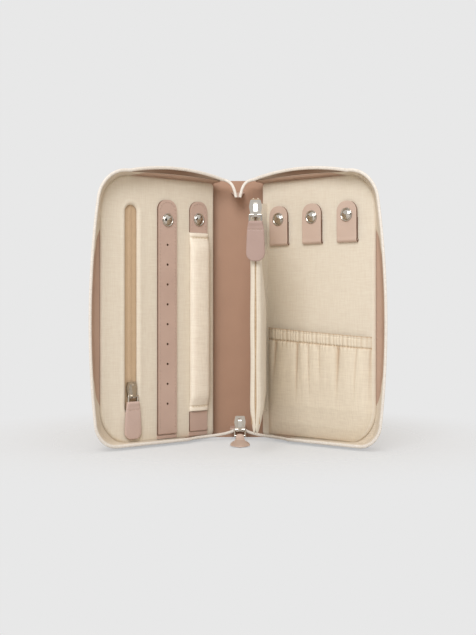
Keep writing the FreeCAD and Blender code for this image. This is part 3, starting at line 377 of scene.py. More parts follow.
leather = grained_leather("grained_leather", "#bda295", "#cbb1a3")
pull_hide = grained_leather("pull_leather_grain", "#bfa69b", "#ceb6ab")
page_pull_hide = grained_leather("pouch_pull_grain", "#a3897f", "#b0968c")
cover_hide = grained_leather("cover_leather_grain", "#b69886", "#c2a591")
hook_hide = grained_leather("hook_leather_grain", "#c4ac9d", "#d2bbac")
# A darker copy of the leather, as painted shade on the recessed spine
spine_shaded_hide = grained_leather("spine_leather_painted_shade", "#a9846d", "#b38e76")
lining_left = woven_lining("woven_lining_left", HALF_ANGLE)
lining_right = woven_lining("woven_lining_right", -HALF_ANGLE)
# The gathered pocket's lining, with painted shade in its hollows kept in its mesh's map
lining_pocket = woven_lining("woven_gathered_lining_painted_shade", -HALF_ANGLE, "#dacdb9", "#e7dcc8", "#b08f6a")
# The inside of the rim tape: a darker copy of the tape as painted shade, with more painted shade along the
# top
tape_inside_shade = woven_lining("woven_tape_inside_painted_shade", 0.0, "#cfc2b2", "#dfd4c5", "#8d705c")
lining_roll = woven_lining("woven_roll_cover", HALF_ANGLE, "#ece0cf", "#f8efdf")
lining_page = woven_lining("woven_lining_pouch", math.pi / 2)
rim_tape = zip_webbing("woven_rim_tape", "#d6ccc0", "#e6ded4")
facing_tape = zip_webbing("woven_facing", "#d2c4b0", "#e1d5c3")
slit_tape = zip_webbing("woven_pocket_tape", "#bba183", "#ccb293")
page_tape = zip_webbing("woven_pouch_tape", "#a58a6c", "#bda284")
coil_nylon = plain_fibre("nylon_coil", "#dcd4ca", "#ebe5dd", 0.0015, 0.45)
edge_dye_and_shade = plain_fibre("dyed_edge_and_painted_shade", "#6f5547", "#806454", 0.0012, 0.7)
hole_shade = plain_fibre("strap_hole_painted_shade", "#3f2f26", "#55402f", 0.0012, 0.85)
page_coil = plain_fibre("nylon_pouch_coil", "#a98e70", "#c0a688", 0.0015, 0.5)
nickel = polished_nickel("polished_nickel")
thread = plain_fibre("bonded_thread", "#b79f90", "#cbb5a6", 0.0008, 0.6)
cream_thread = plain_fibre("cream_thread", "#d8c7ac", "#e6d8c0", 0.0008, 0.6)
grey_board = plain_fibre("grey_board", "#8f8272", "#a39585", 0.002, 0.9)
pale_foam = plain_fibre("pale_foam", "#d8d4ca", "#e8e4da", 0.0012, 0.95)

# Finishes of the solids by the end of their names, the first that fits. All others are leather.

finishes = (
    (("spine_leather",), spine_shaded_hide),
    (("_cap", "_stud", "_slider", "_ring"), nickel),
    (("board",), grey_board),
    (("foam", "elastic"), pale_foam),
    (("pocket_zip_tape", "pocket_zip_coil"), slit_tape),
    (("page_zip_tape",), page_tape),
    (("page_zip_coil",), page_coil),
    (("_zip_coil",), coil_nylon),
    (("zip_end_top", "zip_end_bottom", "_zip_tape"), rim_tape),
    (("page_hinge_strip",), lining_right),
    (("pocket_bag",), lining_left),
    (("_cover",), cover_hide),
)
for name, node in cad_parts.items():
    node.material_slots[0].material = next((f for ends, f in finishes if name.endswith(ends)), leather)

# Strips on the left panel show a dark edge on their side faces, which lie square to the panel: dyed edge
# paint, and painted shade of the strip's thickness

for name in ("earring_strap", "ring_roll_top_tab", "ring_roll_bottom_tab"):
    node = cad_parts[name]
    faces = node.data.polygons
    normal = np.empty(3 * len(faces), np.float32)
    faces.foreach_get("normal", normal)
    normal = normal.reshape(-1, 3) @ np.array(node.matrix_world.to_3x3()).T
    edge = (np.abs(normal @ panel_normal(LEFT)) < 0.5) & (normal[:, 2] > -0.7)
    node.data.materials.append(edge_dye_and_shade)
    faces.foreach_set("material_index", edge.astype(np.int32))


def carried(obj, body, slot, *nodes):
    """Lets a piece ride on a body and stand for its solids, which it hides; slot, for a finish, is not used.
    """
    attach(obj, body)
    if nodes:
        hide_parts(*nodes)
    return obj


# Lined panels

def panel_edge(at):
    """Distance inwards from a panel's outline at points (u, z), below 0 outside. The outline is a rectangle
    whose two corners at the fore edge have another radius."""
    middle = (PANEL_LOW + PANEL_HIGH) / 2
    half_size = (PANEL_HIGH - PANEL_LOW) / 2
    radius = np.where(at[..., 0] > middle[0], PANEL_CORNERS[1], PANEL_CORNERS[0])
    q = np.abs(at - middle) - half_size + radius[..., None]
    outside = np.linalg.norm(np.maximum(q, 0), axis=-1)
    return -(outside + np.minimum(q.max(-1), 0) - radius)


def panel(name, side, slit_u, slit_half, slit_low, slit_high, material):
    """Lined panel of a half: rays leave the slit's edge squarely and end on the panel's outline, and the
    face drops in a quarter round at its outline and at the slit, with a small welt beside the slit."""
    arc, straight = 181, 39
    top, foot = slit_high - slit_half, slit_low + slit_half
    share = np.linspace(0, 1, straight + 2)[1:-1]
    side_z = top + share * (slit_low - slit_high + 2 * slit_half)
    turn = np.concatenate([np.linspace(0, math.pi, arc), np.full(straight, math.pi),
                           np.linspace(math.pi, 2 * math.pi, arc), np.full(straight, 2 * math.pi)])
    ends = np.concatenate([np.full(arc, top), side_z, np.full(arc, foot), side_z[::-1]])
    way = np.stack([np.cos(turn), np.sin(turn)], -1)
    start = np.stack([np.full_like(ends, slit_u), ends], -1) + way * slit_half
    near, far = np.zeros(len(turn)), np.full(len(turn), 260.0)
    for _ in range(40):
        middle = (near + far) / 2
        inside = panel_edge(start + way * middle[:, None]) > 0
        near, far = np.where(inside, middle, near), np.where(inside, far, middle)
    reach = near[None, :]
    rows = [np.minimum(d, 0.3 * reach) for d in (0, 0.08, 0.25, 0.55, 1.0, 1.5, 2.2, 3.2)]
    rows += [3.2 + s * (reach - 4.6) for s in np.linspace(0, 1, 12)[1:-1]]
    rows += [reach - d for d in (1.4, 1.0, 0.65, 0.35, 0.12, 0.0)]
    distance = np.concatenate([np.broadcast_to(r, reach.shape) for r in rows])
    at = start[None] + way[None] * distance[..., None]
    edge = panel_edge(at)
    v = PANEL_FACE - quarter_round(edge, 1.2)
    if slit_half > 0.1:
        v = v - quarter_round(distance, 1.1) + 0.3 * bell(distance, 1.6, 0.8)
    v = v + 0.25 * smooth(0, 30, edge) - 0.25
    return surface(name, on_half(side, at[..., 0], v, at[..., 1]), material, loop=True, wall=1.1 * MM,
                   flip=side < 0)


left_lining = panel("left_lining", LEFT, SLIT_U, 6.2, 23.0, 176.7, lining_left)
carried(left_lining, "left_half", "lining", "left_panel")
right_lining = panel("right_lining", RIGHT, 55.0, 0.02, 60.0, 140.0, lining_right)
carried(right_lining, "right_half", "lining", "right_panel")


# Zip of the slit pocket: a flat tape across the slit, with the closed coil as a low ridge in the middle

def slit_zip():
    """Tape across the slit: flat, with a ridge of closed coil whose height beats along its length."""
    half_width = 7.2
    z = np.linspace(21, 179, 470)[:, None]
    across = np.linspace(-1, 1, 33)[None, :]
    ridge = np.exp(-(across * half_width / 1.1) ** 4) * (0.35 + 0.12 * np.cos(2 * math.pi * z / 1.35))
    groove = 0.18 * bell(across * half_width, 0, 0.25)
    return on_half(LEFT, SLIT_U + half_width * across, 8.6 + ridge - groove, z)


slit = surface("pocket_zip_cloth", slit_zip(), slit_tape, wall=0.5 * MM, flip=True)
carried(slit, "left_half", "zip_tape", "pocket_zip_tape", "pocket_zip_coil")


# Ring roll: a stuffed tube sewn flat at both ends

def ring_roll():
    """Padded roll: a rounded oblong carried up the roll, drawn in at the sewn line 4 mm from each end and
    flattened towards the ends, with slow swells along its length."""
    foot, head, seam = 22.2, 158.0, 4
    z = np.concatenate([[foot, 22.25], np.linspace(22.5, 30, 26), np.linspace(31, 149, 60),
                        np.linspace(150, 157.7, 26), [157.95, head]])
    end = np.minimum(z - foot, head - z)
    full = 0.62 + 0.38 * smooth(3.5, 13, end)
    full = full - 0.16 * bell(end, seam, 0.7)
    full = full * round_end(end, 0.9)
    full = full * (1 + 0.02 * np.sin(z * 0.17) + 0.012 * np.sin(z * 0.41 + 1))
    wide = 8.7 - 0.5 * bell(end, seam, 0.8) - 0.35 * quarter_round(end, 1.0)
    cu, cv = oblong(48, 0.62, 0.8)
    u = ROLL_U + wide[:, None] * cu
    v = 10.3 + 3.1 * full[:, None] * (1 + cv)
    points = on_half(LEFT, u, v, z[:, None])
    middle = on_half(LEFT, np.full_like(u, ROLL_U), np.full_like(v, 12.4), z[:, None])
    points[0], points[-1] = middle[0], middle[-1]
    return outward(surface("padded_roll", points, lining_roll, loop=True))


roll = carried(ring_roll(), "ring_roll", "lining", "ring_roll")


# Gathered pocket, whose rows are shares of its height

POCKET_ROWS = np.concatenate([np.linspace(0, 0.86, 70), np.linspace(0.865, 1.0, 40)])
HEM_SEAM = 0.892


def gathered_pocket():
    """Gathered cloth pocket: a sheet sewn to the panel at its foot and sides. It stands off the panel in a
    bow across its width, folds grow from nothing at the foot to full depth under the elastic, and the hem
    has fine even gathers between two sewn lines. Gives its points and the strength of its painted shade, 0 to
    1."""
    foot, inner, outer, corner = 4.2, 10.0, 103.2, 25.0
    f = np.linspace(0, 1, 361)[None, :]
    s = POCKET_ROWS[:, None]
    top = 86.0 - 6.0 * f
    z = foot + s * (top - foot)
    drop = np.clip(28.5 - z, 0, corner)
    outer_line = outer - (corner - np.sqrt(corner ** 2 - drop ** 2))
    u = inner + f * (outer_line - inner)
    side = np.clip(1 - np.abs(2 * f - 1) ** 9, 0, 1)
    height = np.interp(s, [0, 0.03, 0.12, 0.3, 0.55, 0.8, 0.885, 0.9, 0.95, 1.0],
                       [0.2, 0.9, 2.8, 4.9, 5.6, 5.2, 4.7, 4.6, 4.9, 4.7])
    wander = 0.3 * np.sin(2 * math.pi * 1.9 * f + 1)
    phase = 2 * math.pi * (7 * f + wander + 0.35 * (1 - s) * np.sin(9 * f))
    fold = np.abs(np.sin(phase / 2)) ** 0.55 - 0.7
    strong = 0.5 + 0.2 * np.sin(2 * math.pi * (2.6 * f + 0.4)) + 0.5 * bell(f, 0.14, 0.12)
    rise = smooth(0.25, 0.84, s) * (1 - smooth(0.86, 0.9, s))
    length = smooth(0.1, 0.7, s + 0.2 * np.sin(1.7 * phase))
    v = height * side + 3.8 * fold * strong * rise * length * np.sqrt(side)
    fine = np.sin(2 * math.pi * 31 * f + 1.6 * np.sin(2 * math.pi * 7 * f))
    v = v + 0.33 * fine * smooth(0.8, 0.9, s) * np.sqrt(side)
    v = v - 1.1 * bell(s, HEM_SEAM, 0.009) - 0.35 * bell(s, 0.975, 0.005)
    v = np.clip(v, 0.15, 7.0)
    # Painted shade, 0 to 1: in the folds' valleys, under the hem seam, along the top lip, in the gathers, at
    # the side next to the pouch and at the foot
    painted_shade = np.clip(-2.2 * (fold + 0.08) * strong * rise * length, 0, 1) + 0.75 * bell(s, 0.89, 0.008)
    painted_shade = painted_shade + 0.7 * smooth(0.985, 1.0, s) + 0.25 * np.clip(-fine, 0, 1) * smooth(0.84, 0.9, s)
    painted_shade = painted_shade + 0.35 * (1 - smooth(0, 0.06, f)) + 0.2 * (1 - smooth(0, 0.05, s))
    painted_shade = np.clip(painted_shade, 0, 1) + 0 * u
    return on_half(RIGHT, u, PANEL_FACE + 0.3 + v, z), np.stack([painted_shade, 0 * painted_shade], -1)


pocket_points, pocket_shade = gathered_pocket()
pocket = surface("gathered_cloth", pocket_points, lining_pocket, wall=0.5 * MM, offset=1.0, uv=pocket_shade)
carried(pocket, "right_half", "lining", "gathered_pocket", "gathered_pocket_hem", "gathered_pocket_elastic")


# Middle pouch

def pouch():
    """Middle pouch: one cloth folded round its sewn edge. Each side swells to a half thickness of 3 mm,
    closes towards its top and foot, and ends in a lip that turns in towards the zip. The lower part of the
    side next to the right half stands further out near the sewn edge."""
    high = 166
    w = np.concatenate([np.linspace(-1, -0.93, 12), np.linspace(-0.92, 0.92, 90), np.linspace(0.93, 1, 12)])
    w = w[None, :]
    e = np.concatenate([[0, 0.3, 0.8, 1.6, 2.6, 4.0], np.linspace(6, 80, 30)])
    part = np.concatenate([e / high, 1 - e[::-1] / high])[:, None]
    depth = PAGE_DEEP * np.abs(w)
    foot = np.interp(depth, [0, 24, 38, 84], [21.0, 21.0, 15.0, 15.0])
    foot = foot + quarter_round(PAGE_DEEP - depth, 5)
    head = 176.0 - quarter_round(PAGE_DEEP - depth, 9)
    z = foot + part * (head - foot)
    end = np.minimum(part, 1 - part) * high
    thin = np.interp(depth, [0, 3, 14, 45, 74, 80, 82.5, PAGE_DEEP], [0.5, 1.2, 2.4, 3.0, 3.2, 3.3, 2.9, 0.7])
    wide = np.interp(depth, [0, 2, 6, 20, 45, 74, 80, 82.5, PAGE_DEEP],
                     [0.5, 5.4, 6.4, 6.0, 5.2, 4.2, 3.8, 3.1, 0.7])
    wide = thin + (wide - thin) * (1 - smooth(96, 150, z))
    half = np.where(w > 0, wide, thin)
    half = half * (0.5 + 0.5 * smooth(0, 18, z - foot))
    shut = np.maximum(smooth(170, 174, z), 1 - smooth(16, 24, z))
    half = half - 0.33 * smooth(82, PAGE_DEEP, depth) * (half > 0.4) * shut
    half = half * (0.35 + 0.65 * round_end(end, 5))
    half = half + 0.12 * np.sin(z * 0.11 + depth * 0.05) * smooth(10, 50, depth) * smooth(2, 20, end)
    return on_page(depth, np.sign(w) * half, z)


pouch_points = pouch()
pouch_cloth = surface("pouch_cloth", pouch_points, lining_page, wall=0.7 * MM, offset=0.0)
carried(pouch_cloth, "page", "lining", "page_pouch")
(on_page(0, 1, 0) - on_page(0, 0, 0)).tolist()
on_page(40, 0, 100).tolist()
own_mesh(pouch_cloth)


# Necklace hooks: one leather strip each, sewn flat to the panel, folded up in front and closed by a snap

def hook_strip(u0):
    """Leather strip in the shape of a J: down the panel, round a half circle and up again in front, as wide
    as the hook, with its front end rounded."""
    back, bend, front = 14, 17, 40
    half_width, end_radius, fold_z = 8.5, 7.5, 150.2
    turn = np.linspace(0, math.pi, bend)
    v = np.concatenate([np.full(back, 10.85), 12.1 - 1.25 * np.cos(turn), np.full(front, 13.35)])
    z = np.concatenate([np.linspace(166, 150.6, back), fold_z - 1.45 * np.sin(turn),
                        fold_z + 27.8 * np.linspace(0.02, 1, front) ** 0.8])
    row = np.arange(len(z))
    on_back, on_front = row < back, row >= back + bend
    top = np.where(on_front, 178.0 - z, 99.0)
    drop = np.clip(end_radius - top, 0, end_radius)
    wide = half_width - end_radius + np.sqrt(np.clip(end_radius ** 2 - drop ** 2, 0, None))
    wide = np.where(on_back, np.minimum(wide, 7.9), wide)
    v = v + 0.25 * smooth(150, 160, z) * on_front - 0.25 * on_front
    u = u0 + wide[:, None] * np.linspace(-1, 1, 15)
    return on_half(RIGHT, u, v[:, None] + 0 * u, z[:, None] + 0 * u)


for number, u0 in enumerate(HOOK_U, 1):
    hook = surface(f"hook_leather_{number}", hook_strip(u0), hook_hide, wall=1.25 * MM, offset=0.0)
    # The strip's side faces take the dark dyed edge, which is also painted shade of the gap in the fold
    hook.data.materials.append(edge_dye_and_shade)
    hook.modifiers["wall"].material_offset_rim = 1
    edge = hook.modifiers.new("edge", "BEVEL")
    edge.width = 0.25 * MM
    edge.segments = 2
    edge.angle_limit = math.radians(50)
    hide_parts(f"necklace_hook_{number}", f"necklace_hook_{number}_back")
    on_half(RIGHT, u0, 11.3, 150.0).tolist()
    on_half(RIGHT, u0, 12.9, 150.0).tolist()
    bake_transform(hook)
    # A dark plate of painted shade inside the fold, which shows as a dark line between the back and the flap
    inner = on_half(RIGHT, u0 + 7.9 * np.linspace(-1, 1, 9)[None, :], 12.1,
                    np.linspace(150, 165.6, 12)[:, None])
    inner = surface(f"hook_fold_shade_{number}", inner, edge_dye_and_shade, wall=1.1 * MM, offset=0.0)
    carried(inner, "right_half", "outer_leather")


# Zip round the rim: the coil, the tape, and the tape ends that leave the rim for the two ends of the zip

BACK_LEVEL, RIM_LEVEL = 2.2, 22.8  # v where the wall leaves the back and where it ends
BACK_REACH, CASE_HIGH = 109, 200.0  # u of the fore edge at the back, z of the top
FLARE, FOOT_LIFT = 13.9, 2.4  # how far the wall leans out, and its foot lifts, between those levels
BOW_R, ROOF_R, LOW_R, HIGH_R = 580, 1500, 19, 26  # radii of fore edge, top, low corner and high corner
BOW_Z, ROOF_U = 90.0, 45.0  # middle of the fore edge and of the top
SWELL = 4.2  # rise of the soft tape over the leather's top


def rim_line(v, inset):
    """Outline of a half's wall at level v, moved in by inset: a straight foot, a low corner, the bowed fore
    edge, a high corner and the arched top, each an arc that meets the next one squarely. Beyond the leather
    the soft tape swells upwards over the top in one sine wave. Gives u and z."""
    flare = (v - BACK_LEVEL) / (RIM_LEVEL - BACK_LEVEL)
    bow_r, roof_r, low_r, high_r = BOW_R - inset, ROOF_R - inset, LOW_R - inset, HIGH_R - inset
    foot = FOOT_LIFT * flare + inset
    fore = np.array([BACK_REACH + FLARE * flare - inset - bow_r, BOW_Z])
    roof = np.array([ROOF_U, CASE_HIGH - ROOF_R])
    low_u = fore[0] + math.sqrt((bow_r - low_r) ** 2 - (foot + low_r - BOW_Z) ** 2)
    low = np.array([low_u, foot + low_r])
    gap = roof - fore
    span = math.hypot(*gap)
    along = (span ** 2 + (bow_r - high_r) ** 2 - (roof_r - high_r) ** 2) / (2 * span)
    off = math.sqrt((bow_r - high_r) ** 2 - along ** 2)
    axis = gap / span
    high = fore + axis * along + np.array([-axis[1], axis[0]]) * off

    def sweep(centre, radius, a, b, count):
        """Points of an arc between the angles a and b."""
        t = np.linspace(a, b, count)
        return centre + radius * np.stack([np.cos(t), np.sin(t)], -1)

    a_low = math.atan2(*(low - fore)[::-1])
    a_high = math.atan2(*(high - fore)[::-1])
    a_roof = math.atan2(*(high - roof)[::-1])
    a_end = math.acos((3.0 - ROOF_U) / roof_r)
    line = np.concatenate([[[36.0, foot]], sweep(low, low_r, -math.pi / 2, a_low, 40),
                           sweep(fore, bow_r, a_low, a_high, 80), sweep(high, high_r, a_high, a_roof, 40),
                           sweep(roof, roof_r, a_roof, a_end, 40)])
    wave = np.sin(math.pi * np.clip((line[:, 0] - 4) / 84, 0, 1)) ** 0.8 * (line[:, 1] > TOP_PART)
    line[:, 1] += SWELL * smooth(LEATHER_EDGE, 21.5, v) * wave
    return line


def zip_coil(name, path, run, normal, half_width):
    """Nylon coil: an oval bar that swells once with each turn of the coil. run is the distance along its
    path in millimetres, normal the direction of its height."""
    beat = 0.5 + 0.5 * np.cos(2 * math.pi * run / COIL_PITCH)
    return tube(name, path, normal, (half_width + 0.15 * beat) * MM, (0.6 + 0.14 * beat) * MM, coil_nylon, 8)


for side, name in HALVES:
    flat, run = evenly(rim_line(COIL_LEVEL, 0.75), 0.3)
    path = on_half(side, flat[:, 0], COIL_LEVEL, flat[:, 1])
    coil = zip_coil(f"{name}_rim_coil", path, run, panel_normal(side), 1.15)
    carried(coil, f"{name}_half", "zip_coil", f"{name}_zip_coil")
    # The tape, whose inside carries painted shade: a darker copy of the tape, darker still along the top
    level = np.linspace(16.9, 21.7, 13)
    band = np.stack([rim_line(v, 0.35) for v in level], 1)
    roof = np.sin(math.pi * np.clip((band[:, :1, 0] - 4) / 88, 0, 1)) * (band[:, :1, 1] > TOP_PART)
    shade = roof ** 0.6 * (1 - smooth(20.2, 21.6, level))
    tape = surface(f"{name}_rim_tape", on_half(side, band[..., 0], level, band[..., 1]), tape_inside_shade,
                   wall=0.7 * MM, offset=0.0, flip=side < 0, uv=np.stack([shade, 0 * shade], -1))
    tape.data.materials.append(rim_tape)
    tape.modifiers["wall"].material_offset = 1
    tape.modifiers["wall"].material_offset_rim = 1
    carried(tape, f"{name}_half", "zip_tape", f"{name}_zip_tape")


def tape_tail(name, points, body_end):
    """Tape that leaves the rim and runs to an end of the zip: a band 4.4 mm deep and the coil along its
    front edge, carried along one smooth curve."""
    front, back = 1.8, -2.6
    path = bezier(points, 70)
    depth = np.array([0.0, -1.0, 0.0])
    band = path[:, None] + depth * np.linspace(back, front, 9)[None, :, None] * MM
    tape = surface(f"{name}_tape", band, rim_tape, wall=1.2 * MM, offset=0.0)
    fine, run = evenly(path, 0.3 * MM)
    coil = zip_coil(f"{name}_coil", fine + depth * front * MM, run / MM, depth, 1.05)
    for piece, slot in ((tape, "zip_tape"), (coil, "zip_coil")):
        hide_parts(body_end)
        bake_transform(piece)


for side, name in HALVES:
    top = [on_half(side, 3.5, 19.2, 199.1), on_half(side, -3, 19.2, 198.8)]
    top += [np.array([side * x * MM, -0.0185, z]) for x, z in ((4.4, 0.1975), (2.9, 0.192), (1.5, 0.1852))]
    tape_tail(f"{name}_top_end", [tuple(p) for p in top], "zip_end_top")
    low = [on_half(side, 36.5, 19.7, 2.6), on_half(side, 26, 16.3, 3.6), on_half(side, 12, 14.2, 3.0)]
    low += [np.array([(MAIN_X + side * x) * MM, y, z])
            for x, y, z in ((7.0, -0.0166, 0.0036), (2.4, -0.0190, 0.0090))]
    tape_tail(f"{name}_low_end", [tuple(p) for p in low], "zip_end_bottom")


# Inside of the wall: leather from under the panel up to the tape, and over it a cloth facing that is deep at
# the corners and cut away in the middle of the fore edge and along the top

def wall_inside(side, lift, first):
    """Cove inside the wall: a short profile of level and inset, from under the panel, up the wall and over
    its edge to the tape, carried along the outline. first is the share of the profile that is left out."""
    level = np.array([8.3, 8.4, 8.8, 10.0, 12.0, 14.5, 16.9, 17.35, 18.0])
    inset = np.array([9.0, 5.0, 3.3, 2.3, 1.9, 1.9, 1.85, 1.2, 0.85]) + lift
    lines = np.stack([rim_line(v, k) for v, k in zip(level, inset)], 1)
    share = first[:, None] + (1 - first[:, None]) * np.linspace(0, 1, 25)
    at = share * (len(level) - 1)
    low = np.minimum(at.astype(int), len(level) - 2)
    part = at - low
    row = np.arange(len(lines))[:, None]
    flat = lines[row, low] * (1 - part[..., None]) + lines[row, low + 1] * part[..., None]
    v = level[low] * (1 - part) + level[low + 1] * part
    return on_half(side, flat[..., 0], v, flat[..., 1])


SEAM_LEVEL = 15.6  # v of the stitches that hold the tape in the wall

for side, name in HALVES:
    line = rim_line(LEATHER_EDGE, 1.9)
    fore = (line[:, 0] > 100).astype(float)
    away = 0.9 * fore * smooth(22, 58, line[:, 1]) * (1 - smooth(132, 168, line[:, 1]))
    roof = (1 - smooth(70, 96, line[:, 0])) * (line[:, 1] > TOP_PART)
    away = np.maximum(away, 0.985 * roof)
    cove = surface(f"{name}_wall_leather", wall_inside(side, 0.1, 0 * away), cover_hide, wall=0.2 * MM,
                   offset=0.0, flip=side > 0)
    carried(cove, f"{name}_half", "outer_leather")
    facing = surface(f"{name}_wall_facing", wall_inside(side, 0.4, away), facing_tape, wall=0.2 * MM,
                     offset=0.0, flip=side > 0)
    carried(facing, f"{name}_half", "zip_tape")
    line, _ = evenly(rim_line(SEAM_LEVEL, -0.02), 1.0)
    line = line[line[:, 1] > 6]
    ahead = np.gradient(line, axis=0)
    ahead /= np.linalg.norm(ahead, axis=1, keepdims=True)
    out = on_half(side, ahead[:, 1], 0, -ahead[:, 0]) - on_half(side, 0, 0, 0)
    path = on_half(side, line[:, 0], SEAM_LEVEL, line[:, 1])
    carried(stitches(f"{name}_rim_stitches", path, out / MM, thread), f"{name}_half", "outer_leather")


# Leather pulls of the two inner zips: a strip folded round the ring, sewn across and glued together

def pull_leather(node, place, top, foot, narrow, broad, hide):
    """Pull: a flat oval carried down its length. It starts as the round fold on the ring, is pinched at the
    cross seam, widens downwards and ends in a rounded foot."""
    seam_down, round_foot = 6.0, 6
    z = np.concatenate([[top, top - 0.02], top - 3.2 * (1 - np.cos(np.linspace(0.1, math.pi / 2, 10))),
                        np.linspace(top - 3.6, foot + 7, 50),
                        foot + 7 * (1 - np.sin(np.linspace(0.08, math.pi / 2, 22))), [foot]])
    down, up = top - z, z - foot
    thick = 0.95 + 0.6 * (1 - smooth(1.0, 4.5, down)) - 0.3 * bell(down, seam_down, 0.5)
    thick = thick * round_end(down, 1.5)
    thick = thick * round_end(up, 0.9)
    wide = np.interp(down, [0, 5, 9, 28], [narrow - 0.9, narrow, narrow + 0.35 * (broad - narrow), broad])
    drop = np.clip(round_foot - up, 0, round_foot)
    wide = wide - round_foot + np.sqrt(np.clip(round_foot ** 2 - drop ** 2, 0, None))
    cu, cv = oblong(40, 0.25, 0.6)
    points = place(wide[:, None] * cu, thick[:, None] * cv, z[:, None])
    centre = place(0 * wide[:, None] * cu, 0 * thick[:, None] * cv, z[:, None])
    points[0] = centre[0]
    points[-1] = (points[-1] + 3 * centre[-1]) / 4
    piece = outward(surface(f"{node}_leather", points, hide, loop=True))
    carried(piece, node, "outer_leather", node)
    out = (place(0, 1, 0) - place(0, 0, 0)) / MM
    seam, _ = evenly(place(np.linspace(-narrow + 1.0, narrow - 1.0, 15), 0.72, top - seam_down), 0.5 * MM)
    carried(stitches(f"{node}_leather_seam", seam, out, thread), node, "outer_leather")


pull_leather("pocket_pull", lambda a, b, z: on_half(LEFT, SLIT_U + a, 12.65 + b, z), 33.1, 5.6, 5.9, 7.5,
             pull_hide)
pull_leather("page_pull", lambda a, b, z: on_page(87.6 + b, a, z), 159.7, 132.2, 5.6, 6.6, page_pull_hide)


def main_pull_leather():
    """Leather pull of the main zip: a flat oval that hangs from its ring, slopes to the floor and lies
    there. It is thick at the ring, widens outwards and ends in a round."""
    start, round_from, round_long = 26.2, 55, 9
    t = np.concatenate([np.linspace(start, round_from, 50),
                        round_from + round_long * np.sin(np.linspace(0.06, math.pi / 2, 24))])
    z = np.interp(t, [start, 27.5, 29, 31, 32.5, 34, 37, 64], [4.1, 3.9, 3.0, 1.9, 1.2, 0.9, 0.8, 0.8])
    wide = np.interp(t, [start, 30, 33, 37, 44, 54, 64], [3.0, 3.2, 4.3, 5.9, 6.9, 7.2, 7.2])
    wide = wide * np.sqrt(np.clip(1 - (np.clip(t - round_from, 0, round_long) / 9.2) ** 2, 0, None))
    thick = 0.65 + 0.85 * (1 - smooth(27.2, 29.5, t))
    path = np.stack([np.full_like(t, MAIN_X), -t, z], -1) * MM
    return tube("main_pull_leather", path, [0.0, 0.0, 1.0], wide * MM, thick * MM, hook_hide, 24)


carried(main_pull_leather(), "main_pull", "outer_leather", "main_pull")


# Snap caps, a low dome inside a rolled rim, and the dark discs of painted shade that fill the strap's holes

def turned(side, u, z, base, radius, height, count):
    """A profile of radius and height turned about an axis square to a half's panel."""
    turn = np.arange(count) * 2 * math.pi / count
    r, h = np.array(radius)[:, None], np.array(height)[:, None]
    return on_half(side, u + r * np.cos(turn), base + h + 0 * turn, z + r * np.sin(turn))


CAP_RADIUS = (0, 0.6, 1.3, 2.0, 2.7, 3.3, 3.7, 3.9, 4.0, 4.1, 4.3, 4.6, 4.85, 5.0, 5.0, 4.9)
CAP_HEIGHT = (2.0, 1.97, 1.86, 1.66, 1.36, 1.0, 0.68, 0.45, 0.3, 0.5, 0.74, 0.8, 0.66, 0.4, 0.15, 0.0)
caps = [("earring_snap", LEFT, STRAP_U, 166.0, 12.7, "earring_strap")]
caps += [("ring_roll_snap", LEFT, ROLL_U, 168.0, 12.2, "ring_roll")]
for number, u0 in enumerate(HOOK_U, 1):
    caps += [(f"necklace_hook_{number}", RIGHT, u0, 168.0, 14.02, f"necklace_hook_{number}")]
for name, side, u, z, base, body in caps:
    cap = turned(side, u, z, base, CAP_RADIUS, CAP_HEIGHT, 48)
    cap = outward(surface(f"{name}_dome", cap, nickel, loop=True))
    carried(cap, body, "metal", f"{name}_cap")

HOLE_COUNT, HOLE_FIRST, HOLE_PITCH = 9, 29.7, 14.75
for number in range(HOLE_COUNT):
    z = HOLE_FIRST + HOLE_PITCH * number
    # A flat dark disc of painted shade in each hole
    plug = turned(LEFT, STRAP_U, z, 12.25, (0.0, 0.5, 0.88), (0, 0, 0), 20)
    plug = surface(f"strap_hole_shade_{number + 1}", plug, hole_shade, loop=True, flip=True)
    carried(plug, "earring_strap", "outer_leather")


# Sewn lines of the strap, the roll and the gathered pocket

def edge_rows(name, u0, half_width, face, low, high, body):
    """Two rows of stitches, one along each long edge of a strip, joined round its top."""
    turn = np.linspace(0, math.pi, 40)
    radius = min(half_width, 6.0)
    u = np.concatenate([np.full(30, u0 + half_width), u0 + half_width - radius + radius * np.cos(turn[:20]),
                        u0 - half_width + radius + radius * np.cos(turn[20:]), np.full(30, u0 - half_width)])
    z = np.concatenate([np.linspace(low, high - radius, 30), high - radius + radius * np.sin(turn),
                        np.linspace(high - radius, low, 30)])
    path, _ = evenly(on_half(LEFT, u, face, z), 1.0 * MM)
    carried(stitches(name, path, panel_normal(LEFT), thread), body, "outer_leather")


edge_rows("strap_stitches", STRAP_U, 6.9, 12.65, 11.5, 179.2, "earring_strap")
edge_rows("roll_tab_stitches", ROLL_U, 6.7, 12.15, 160.0, 179.8, "ring_roll")

for number, z in enumerate((26.2, 154.0), 1):
    path = on_half(LEFT, np.linspace(ROLL_U - 8, ROLL_U + 8, 17), 14.2, z)
    carried(stitches(f"roll_seam_{number}", path, panel_normal(LEFT), cream_thread), "ring_roll", "lining")

hem = pocket_points[np.argmin(np.abs(POCKET_ROWS - HEM_SEAM))][6:-6] + panel_normal(RIGHT) * 0.55 * MM
carried(stitches("hem_stitches", hem, panel_normal(RIGHT), cream_thread), "right_half", "lining")


# Spine: the tongue at the top end of the zip, and the folded leather between the spine and each half

def top_tongue():
    """Leather tongue behind the top end of the zip: a strip that narrows and sinks from the spine to the
    tip of the V."""
    t = np.linspace(0, 1, 24)[:, None]
    x = (5.2 - 3.2 * t) * np.linspace(-1, 1, 9)[None, :]
    return np.stack(np.broadcast_arrays(x, -1.9 - 16.0 * t, 190.5 - 3.5 * t - 1.5 * t ** 3), -1) * MM


